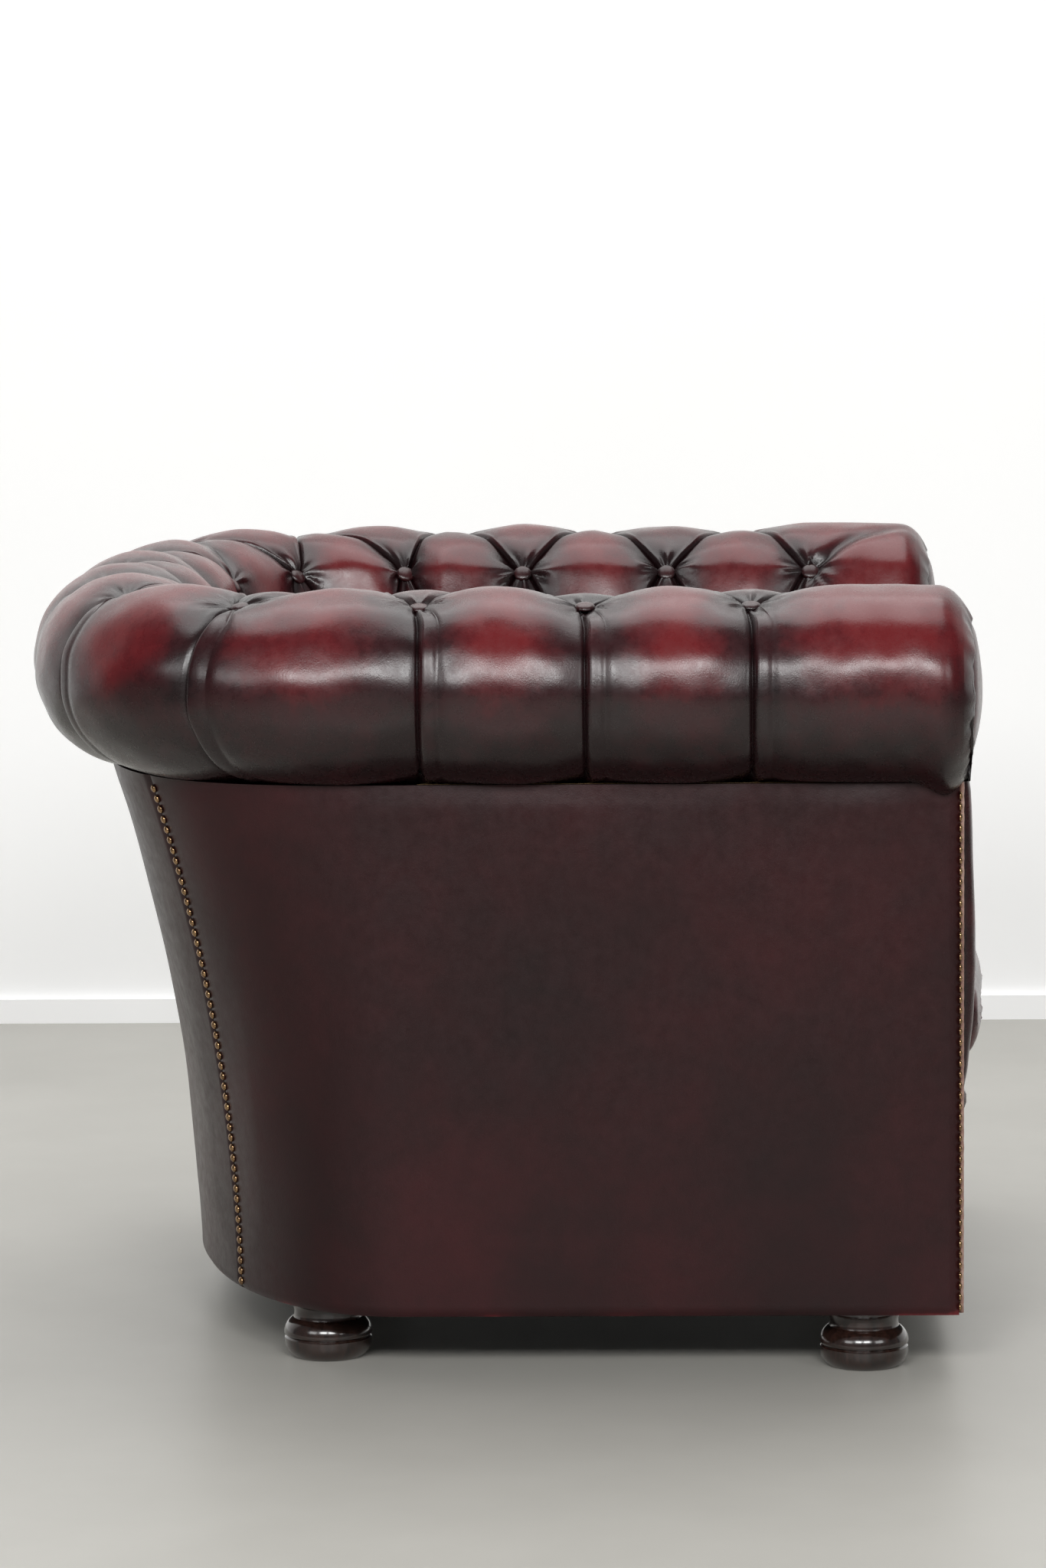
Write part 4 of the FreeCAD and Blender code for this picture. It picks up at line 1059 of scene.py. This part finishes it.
FACING_GAP = 0.001
FACING_LOW_Z = BASE_Z + 0.0015
FACING_DEPTH, FACING_LEAST = 0.0155, 0.0012
FACING_VOXEL = 0.0034
FACING_ROUND = 0.016
FACING_ON_ROLL = ((-0.072, 0), (-0.0504, 0.0462), (0, 0.066), (0.049, 0.0462), (0.070, 0), (0.057, -0.051))
FACING_OUT_R = 0.008
NECK_R, NECK_RISE = RAIL_OUT + 0.0005, 0.014
FACING_STEPS = 28
COLUMN_HEIGHTS = (0.05, 0.262, 0.285, 0.33, 0.385, 0.47, 0.545)
COLUMN_RISES = (0.003, 0.004, 0.009, 0.0135, 0.0165, 0.0145, 0.012)
SCROLL_START_Z, SCROLL_RUN = 0.545, 0.06
COLUMN_EDGE, SCROLL_EDGE = 0.30, 0.45
FACING_UNEVEN = 0.0005
FACING_EDGE_ANTIQUE_AND_SHADE, FACING_SHADE_RISE, FACING_MOTTLE = 0.08, 0.50, 0.1


def facing_outline(gap):
    # corners of the facing seen from the front, offset and height, all round
    shrink = 1 - gap / CORE_RADIUS
    inside = AXIS_X - INSIDE_X
    inner = -(inside - FACING_INSET - gap)
    row = -(CORE_RADIUS - CORE_GAP + (inside - ROLL_RADIUS) * INNER_ROW_LEAN - gap)
    on = [(r * shrink, ROLL_Z + z * shrink) for r, z in FACING_ON_ROLL]
    neck = (NECK_R, SEAM_Z + CORE_SEAM_RISE + gap)
    line = [(inner, FACING_LOW_Z)]
    for a, m, b in (((inner, BELLY_Z), (row, INNER_ROW_Z), on[0]), on[:3], on[2:5], (on[4], on[5], neck)):
        line += list(zip(*arc(a, m, b, np.linspace(0, 1, FACING_STEPS)[:-1])))
    line += [neck, (FACING_OUT_R, SEAM_Z + NECK_RISE + gap), (FACING_OUT_R, FACING_LOW_Z)]
    return line


def distance_to(points, line):
    # shortest distance from each (x, z) to a closed line
    best = np.full(len(points), 9.0)
    for (ax, az), (bx, bz) in zip(line, line[1:] + line[:1]):
        d = np.array([bx - ax, bz - az])
        size = max(float(d @ d), 1e-12)
        t = np.clip(((points - (ax, az)) @ d) / size, 0, 1)
        near = np.array([ax, az]) + t[:, None] * d
        best = np.minimum(best, np.linalg.norm(points - near, axis=1))
    return best


def voxel_solid(name, outline, y0, y1, voxel):
    # an outline in the XZ plane, given thickness and an even mesh
    bm = bmesh.new()
    face = bm.faces.new([bm.verts.new((x, y0, z)) for x, z in outline])
    moved = bmesh.ops.extrude_face_region(bm, geom=[face])
    for item in moved["geom"]:
        if isinstance(item, bmesh.types.BMVert):
            item.co.y = y1
    bmesh.ops.recalc_face_normals(bm, faces=bm.faces)
    mesh = bpy.data.meshes.new(name)
    bm.to_mesh(mesh)
    bm.free()
    made = bpy.data.objects.new(name, mesh)
    bpy.context.scene.collection.objects.link(made)
    pick(made)
    apply_modifier(made, "REMESH", mode="VOXEL", voxel_size=voxel)
    return made


def facing_rise(x, z, round_off):
    # how far the padding stands out: domed over the scroll, bulging in the column, flat below the seat
    column = np.interp(z, COLUMN_HEIGHTS, COLUMN_RISES)
    far = np.hypot(np.abs(x) - AXIS_X, z - ROLL_Z)
    dome = DOME_LENGTH * np.clip(1 - (far / ROLL_RADIUS) ** 2, 0, 1) ** (1 / DOME_POWER) - DOME_START
    share = ease((z - SCROLL_START_Z) / SCROLL_RUN)
    column = column * (COLUMN_EDGE + (1 - COLUMN_EDGE) * round_off)
    dome = dome * (SCROLL_EDGE + (1 - SCROLL_EDGE) * round_off)
    return column * (1 - share) + dome * share


def make_facing(label, side):
    outline = [(side * (AXIS_X + r), z) for r, z in facing_outline(FACING_GAP)]
    piece = voxel_solid(f"facing_{label}", outline, ARM_FRONT_Y, ARM_FRONT_Y - FACING_DEPTH, FACING_VOXEL)
    verts = get_points(piece)
    x, z = verts[:, 0], verts[:, 2]
    off = distance_to(verts[:, [0, 2]], outline)
    ahead = np.clip((ARM_FRONT_Y - verts[:, 1]) / FACING_DEPTH, 0, 1)
    round_off = np.sqrt(1 - (1 - np.clip(off / FACING_ROUND, 0, 1)) ** 2)
    rise = facing_rise(x, z, round_off)
    rise += FACING_UNEVEN * waves(x, z, 31, (0.08, 0.05)) * round_off
    verts[:, 1] = ARM_FRONT_Y - ahead * np.maximum(rise, FACING_LEAST)
    set_points(piece, verts)
    piece.data.materials.append(OXBLOOD)
    piece.data.shade_smooth()
    # darker towards its outline where the padding rounds off: partly the antique finish, partly painted
    # shade
    crown = FACING_EDGE_ANTIQUE_AND_SHADE + FACING_SHADE_RISE * round_off
    crown += FACING_MOTTLE * waves(x, z, 3, (0.12, 0.05))
    set_crown(piece, np.clip(crown, 0, 1))
    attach(piece, "chair")
    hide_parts(f"scroll_facing_{label}")


make_facing("right", -1.0)
make_facing("left", 1.0)


# Piping beside the front nails: a leather covered cord, its seam edge tucked behind the facing

PIPING_RADIUS = 0.0023
PIPING_OUT = 0.0108
PIPING_SPANS, PIPING_AROUND = 150, 14
COVER_TWIST, COVER_PULL = 0.00012, 0.0001
PIPING_PAINTED_REFLECTION, PIPING_PAINTED_SIDE_LIGHT = 0.62, 0.25


def make_piping(label, side):
    low, high = FACING_LOW_Z, SEAM_Z
    verts, crowns = [], []
    for i in range(PIPING_SPANS + 1):
        z = low + (high - low) * i / PIPING_SPANS
        for j in range(PIPING_AROUND):
            a = math.tau * j / PIPING_AROUND
            twist = COVER_TWIST * math.sin(z * 1400 + 2 * a)
            radius = PIPING_RADIUS + twist + COVER_PULL * math.sin(z * 390)
            x = side * (AXIS_X + PIPING_OUT) + side * radius * math.cos(a)
            verts.append((x, ARM_FRONT_Y - PIPING_RADIUS + radius * math.sin(a), z))
            # painted reflection and painted light: the cord is pale all round and lightest on the side
            # facing outward and forward
            crowns.append(PIPING_PAINTED_REFLECTION + PIPING_PAINTED_SIDE_LIGHT * math.cos(a + 0.8))
    faces = tube_faces(PIPING_SPANS, PIPING_AROUND)
    piece = put(f"piping_{label}", verts, faces, SLOT_MATERIALS["piping_leather"])
    set_crown(piece, crowns)
    face_outward(piece)
    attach(piece, "chair")
    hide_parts(f"front_piping_{label}")


make_piping("right", -1.0)
make_piping("left", 1.0)


# Front border: leather over the front rail, its lip rolled under the cushion

BORDER_FRONT_Y = ARM_FRONT_Y - 0.006
BORDER_BACK_Y = ARM_FRONT_Y + 0.006
BORDER_FACE = ((0.0005, 0.10), (0.001, 0.16), (0.0006, 0.205), (0.001, 0.218), (0.006, 0.224),
               (0.0088, 0.232), (0.0088, 0.240), (0.004, 0.247))
BORDER_LIP_Z = 0.22
BORDER_INNER_Z = 0.2
BORDER_SPANS = 120
BORDER_END, BORDER_END_DROP, BORDER_UNEVEN = 0.006, 0.003, 0.0007
BORDER_SHADE, LIP_SHADE = 0.30, 0.40
LIP_ANGLE = 48


def make_border():
    low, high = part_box("front_border")
    half = high[0] - 0.0005
    profile = [(BORDER_BACK_Y, low[2]), (BORDER_FRONT_Y, low[2])]
    profile += [(BORDER_FRONT_Y - out, z) for out, z in BORDER_FACE]
    profile += [(BORDER_FRONT_Y + 0.006, high[2]), (BORDER_BACK_Y + 0.026, high[2]),
                (BORDER_BACK_Y + 0.028, BORDER_INNER_Z), (BORDER_BACK_Y, BORDER_INNER_Z)]
    verts, crowns = [], []
    for i in range(BORDER_SPANS + 1):
        x = -half + 2 * half * i / BORDER_SPANS
        end = min(1.0, (half - abs(x)) / BORDER_END)
        pull = BORDER_END_DROP * (1 - math.sqrt(max(0.0, 1 - (1 - end) ** 2)))
        for y, z in profile:
            if y < ARM_FRONT_Y - 0.003:
                y += pull - BORDER_UNEVEN * float(waves(x, z, 12, (0.23, 0.14)))
            verts.append((x, y, z))
            crowns.append(LIP_SHADE if z > BORDER_LIP_Z else BORDER_SHADE)
    piece = put("border_leather", verts, tube_faces(BORDER_SPANS, len(profile)), OXBLOOD)
    face_outward(piece)
    set_crown(piece, crowns)
    pick(piece)
    bpy.ops.object.shade_smooth_by_angle(angle=math.radians(LIP_ANGLE))
    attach(piece, "chair")
    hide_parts("front_border")


make_border()


# Seat cushion: a filled leather case, its shape blown up by a short cloth simulation

NOSE_HEIGHT = 0.042
NOSE_DEPTH = 0.058
NOSE_END_HEIGHT = 0.030
NOSE_CORNER = 0.012
NOSE_BOW = 0.017
BOW_DEPTH = 0.16
BACK_ROUND = 0.060
BACK_LOW = 0.016
BACK_END_HEIGHT = 0.071
CUSHION_HEIGHT = 0.118
CUSHION_CROWN = 0.050
CUSHION_DRAW_IN = 0.005
CUSHION_CORNER = 0.044
CUSHION_SPANS = 30
SIDE_CORNER = 0.012
PADDING_INSET, COVER_INSET = 0.0045, 0.0015
CUSHION_VOXEL = 0.0062
FILL_PRESSURE, FILL_FRAMES, FILL_LIMIT = 4.0, 20, 0.006
DECK_GAP, BACK_GAP, SIDE_GAP = 0.0002, 0.0003, 0.0005
COVER_GAP = 0.0024
TOP_RISE = 0.055
SEAM_IN = 0.012
SEAM_GROOVE, SEAM_HALF = 0.0022, 0.0022
SEAM_START = 0.05
PUCKER, PUCKER_PITCH, PUCKER_REACH = 0.0005, 0.013, 0.012
SAG, SMALL_SAG = 0.0012, 0.0004
COVER_SHADE, SEAM_DARK, SEAM_DARK_REACH = (0.55, 0.22), 0.3, 0.004
BOTTOM_STEPS, SIDE_STEPS, TOP_STEPS = 12, 8, 24
CLOSE_TO_CORE = 0.03


def cushion_section(share, inset):
    # one upright slice of the cushion, all round, so far from its front to its back
    length = CUSHION_BACK_Y - CUSHION_FRONT_Y
    bow = math.sin(math.pi * share)
    nose = 1 - math.sqrt(1 - max(0.0, 1 - length * share / NOSE_DEPTH) ** 2)
    tail = 1 - math.sqrt(1 - max(0.0, 1 - length * (1 - share) / BACK_ROUND) ** 2)
    draw = CUSHION_DRAW_IN * bow + NOSE_CORNER * nose + CUSHION_CORNER * tail
    low = NOSE_HEIGHT * nose + BACK_LOW * tail
    height = CUSHION_HEIGHT - (CUSHION_HEIGHT - NOSE_END_HEIGHT) * nose
    height -= (CUSHION_HEIGHT - BACK_END_HEIGHT) * tail
    crown = max(0.002, CUSHION_CROWN * bow ** 0.6)
    y = CUSHION_FRONT_Y + inset + (length - 2 * inset) * share
    half = CUSHION_HALF - draw - inset
    z0 = REST_Z + low + inset
    z1 = z0 + height - 2 * inset
    middle = (z0 + z1) / 2
    flat = half - min(SIDE_CORNER, half * 0.2)
    line = [(-flat + 2 * flat * i / BOTTOM_STEPS, z0) for i in range(BOTTOM_STEPS)]
    for a, m, b, count in (((flat, z0), (half, middle), (flat, z1), SIDE_STEPS),
                           ((flat, z1), (0.0, z1 + crown), (-flat, z1), TOP_STEPS),
                           ((-flat, z1), (-half, middle), (-flat, z0), SIDE_STEPS)):
        line += list(zip(*arc(a, m, b, np.arange(count) / count)))
    bowed = NOSE_BOW * max(0.0, 1 - length * share / BOW_DEPTH)
    return [(x, y + bowed * (x / CUSHION_HALF) ** 2, z) for x, z in line]


def keep_outside(points, faces, core, gap):
    # moves any point that is nearer than the gap to the core, or inside it, out along its surface, and
    # then any face whose middle is nearer than half the gap
    tree = BVHTree.FromPolygons([v.co for v in core.data.vertices],
                                [tuple(f.vertices) for f in core.data.polygons])

    def shortfall(point, least):
        near, normal, _, _ = tree.find_nearest(point, CLOSE_TO_CORE)
        if near is None:
            return Vector((0.0, 0.0, 0.0))
        return normal * max(0.0, least - (point - near).dot(normal))

    for index, point in enumerate(points):
        points[index] = Vector(point) + shortfall(Vector(point), gap)
    for corners in faces:
        points[corners] += np.array(shortfall(Vector(points[corners].mean(0)), gap / 2))


def cushion_block(name, inset, material):
    # slices closer together towards the front and the back, where the form turns most
    shares = [(1 - math.cos(math.pi * i / CUSHION_SPANS)) / 2 for i in range(CUSHION_SPANS + 1)]
    rings = [cushion_section(share, inset) for share in shares]
    verts = [point for ring in rings for point in ring]
    piece = put(name, verts, tube_faces(CUSHION_SPANS, len(rings[0])), material)
    face_outward(piece)
    return piece


def fill_cover(piece):
    # blows the cover up a little, by the limit at most
    start = get_points(piece)
    press = piece.modifiers.new("fill", "CLOTH")
    press.settings.use_pressure = True
    press.settings.uniform_pressure_force = FILL_PRESSURE
    press.settings.effector_weights.gravity = 0
    press.settings.quality = 5
    for number in range(1, FILL_FRAMES + 1):
        bpy.context.scene.frame_set(number)
    bpy.ops.object.modifier_apply(modifier="fill")
    bpy.context.scene.frame_set(1)
    move = get_points(piece) - start
    size = np.linalg.norm(move, axis=1, keepdims=True)
    shape = start + move * np.minimum(1, FILL_LIMIT / np.maximum(size, 1e-9))
    shape[:, 0] = np.clip(shape[:, 0], -CUSHION_HALF + SIDE_GAP, CUSHION_HALF - SIDE_GAP)
    shape[:, 1] = np.clip(shape[:, 1], CUSHION_FRONT_Y, CUSHION_BACK_Y - BACK_GAP)
    shape[:, 2] = np.maximum(shape[:, 2], REST_Z + DECK_GAP)
    set_points(piece, shape)


def make_cushion():
    padding = cushion_block("cushion_padding", PADDING_INSET, SLOT_MATERIALS["foam"])
    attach(padding, "seat_cushion")
    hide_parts("cushion_foam")
    piece = cushion_block("cushion_leather", COVER_INSET, OXBLOOD)
    pick(piece)
    apply_modifier(piece, "REMESH", mode="VOXEL", voxel_size=CUSHION_VOXEL)
    fill_cover(piece)
    apply_modifier(piece, "SMOOTH", factor=0.5, iterations=4)
    apply_modifier(piece, "SUBSURF", levels=1, render_levels=1)
    shape = get_points(piece)
    x, y, z = shape.T
    to_seam = np.abs(np.abs(x) - (CUSHION_HALF - SEAM_IN))
    top = z > REST_Z + TOP_RISE
    groove = SEAM_GROOVE * np.exp(-(to_seam / SEAM_HALF) ** 2) * top
    groove = groove * np.clip((y - CUSHION_FRONT_Y) / SEAM_START - 1, 0, 1)
    puckers = PUCKER * np.sin(y * math.tau / PUCKER_PITCH) * np.exp(-(to_seam / PUCKER_REACH) ** 2) * top
    sag = SAG * waves(x, y, 14, (0.30, 0.17)) + SMALL_SAG * waves(x, y, 15, (0.05, 0.035))
    shape[:, 2] = z - groove + puckers + np.where(top, sag, 0)
    keep_outside(shape, [list(face.vertices) for face in piece.data.polygons], padding, COVER_GAP)
    shape[:, 2] = np.maximum(shape[:, 2], REST_Z + DECK_GAP)
    set_points(piece, shape)
    piece.data.shade_smooth()
    crown = COVER_SHADE[0] + COVER_SHADE[1] * waves(x, y, 6, (0.35, 0.14))
    crown -= SEAM_DARK * np.exp(-(to_seam / SEAM_DARK_REACH) ** 2)
    set_crown(piece, np.clip(crown, 0, 1))
    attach(piece, "seat_cushion")
    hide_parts("cushion_cover")


make_cushion()


# Floor, wall, camera and light

WALL_X = 1.68
ROOM = 9
WALL_HEIGHT = 7
SKIRTING_HEIGHT, SKIRTING_DEPTH = 0.032, 0.012


def stage_surface(name, scale, detail, stops, roughness, **more):
    # softly mottled, in a pale colour
    made, tree, shader, place = new_material(name)
    cloud = add(tree, "TexNoise", {"Vector": place, "Scale": scale, **detail})
    colour = add(tree, "ValToRGB", {"Fac": cloud.outputs["Fac"]}, stops)
    feed(tree, shader, {"Base Color": colour.outputs["Color"], "Roughness": roughness, **more})
    return made


def make_stage():
    # floated concrete: pale grey, faintly clouded, with a soft sheen
    concrete = stage_surface("polished_concrete", 2.2, {"Detail": 6.0, "Roughness": 0.6},
                             [(0.3, "#b4b2ab"), (0.7, "#bebcb5")], 0.42)
    # painted plaster: an even matt white
    plaster = stage_surface("white_plaster_wall", 1.5, {"Detail": 2.0},
                            [(0.3, "#f3f3f2"), (0.7, "#f5f5f5")], 0.9,
                            **{"Emission Color": linear("#ffffff"), "Emission Strength": 0.24})
    deselect()
    bpy.ops.mesh.primitive_plane_add(size=1.0)
    floor = bpy.context.object
    floor.name = "floor"
    set_points(floor, np.array([(-ROOM, -ROOM, 0), (WALL_X, -ROOM, 0), (-ROOM, ROOM, 0), (WALL_X, ROOM, 0)],
                               float))
    floor.data.materials.append(concrete)
    bpy.ops.mesh.primitive_plane_add(size=1.0)
    wall = bpy.context.object
    wall.name = "wall"
    set_points(wall, np.array([(WALL_X, y, z) for y in (-ROOM, ROOM) for z in (0, WALL_HEIGHT)], float))
    wall.data.polygons[0].vertices = (0, 1, 3, 2)
    wall.data.update()
    wall.data.materials.append(plaster)
    bpy.ops.mesh.primitive_cube_add(size=1.0)
    skirting = bpy.context.object
    skirting.name = "skirting"
    for vert in skirting.data.vertices:
        x, y, z = vert.co
        vert.co = (WALL_X + SKIRTING_DEPTH * (x - 0.5), 2 * ROOM * y, SKIRTING_HEIGHT * (z + 0.5))
    skirting.data.materials.append(plaster)


make_stage()


def lamp(name, place, target, size, power):
    data = bpy.data.lights.new(name, "AREA")
    data.shape = "RECTANGLE"
    data.size, data.size_y = size
    data.energy = power
    made = bpy.data.objects.new(name, data)
    made.location = place
    made.rotation_euler = (Vector(target) - Vector(place)).to_track_quat("-Z", "Y").to_euler()
    bpy.context.scene.collection.objects.link(made)


# Two windows behind the camera, softer light from both sides and a ceiling; place, target, size, watts
lamp("window_left", (-4.2, 0.85, 2.4), (0.0, 0.1, 0.6), (1.2, 0.9), 62)
lamp("window_right", (-4.2, -0.75, 2.4), (0.0, -0.1, 0.6), (1.2, 0.9), 62)
lamp("fill_left", (-3.6, 2.9, 2.2), (0.0, 0.0, 0.5), (1.6, 1.2), 26)
lamp("fill_right", (-3.6, -3.1, 2.2), (0.0, 0.0, 0.5), (1.6, 1.2), 26)
lamp("top", (0.4, 0.0, 3.4), (0.1, 0.0, 0.5), (3.0, 2.4), 62)

world = bpy.data.worlds.new("soft_white_room")
world.use_nodes = True
feed(world.node_tree, world.node_tree.nodes["Background"], {"Color": linear("#f2f3f5"), "Strength": 0.14})
bpy.context.scene.world = world

# The camera as fitted to the photograph: focal length and picture height in pixels, place and angles
FOCAL_PX, PICTURE_PX = 7214.0, 2048.0
SENSOR_MM = 36.0
CAMERA_PLACE = (-5.5, -0.1458, 1.1436)
CAMERA_YAW, CAMERA_DOWN, CAMERA_ROLL = 1.42, 6.6, -0.47

camera_data = bpy.data.cameras.new("camera")
camera_data.sensor_fit = "VERTICAL"
camera_data.sensor_height = SENSOR_MM
camera_data.lens = FOCAL_PX * SENSOR_MM / PICTURE_PX
camera = bpy.data.objects.new("camera", camera_data)
yaw, down, roll = math.radians(CAMERA_YAW), math.radians(CAMERA_DOWN), math.radians(CAMERA_ROLL)
sight = Vector((math.cos(down) * math.cos(yaw), math.cos(down) * math.sin(yaw), -math.sin(down)))
turn = sight.to_track_quat("-Z", "Y").to_matrix().to_4x4() @ Matrix.Rotation(roll, 4, "Z")
camera.matrix_world = Matrix.Translation(CAMERA_PLACE) @ turn
bpy.context.scene.collection.objects.link(camera)
bpy.context.scene.camera = camera
bpy.context.scene.view_settings.view_transform = "Standard"
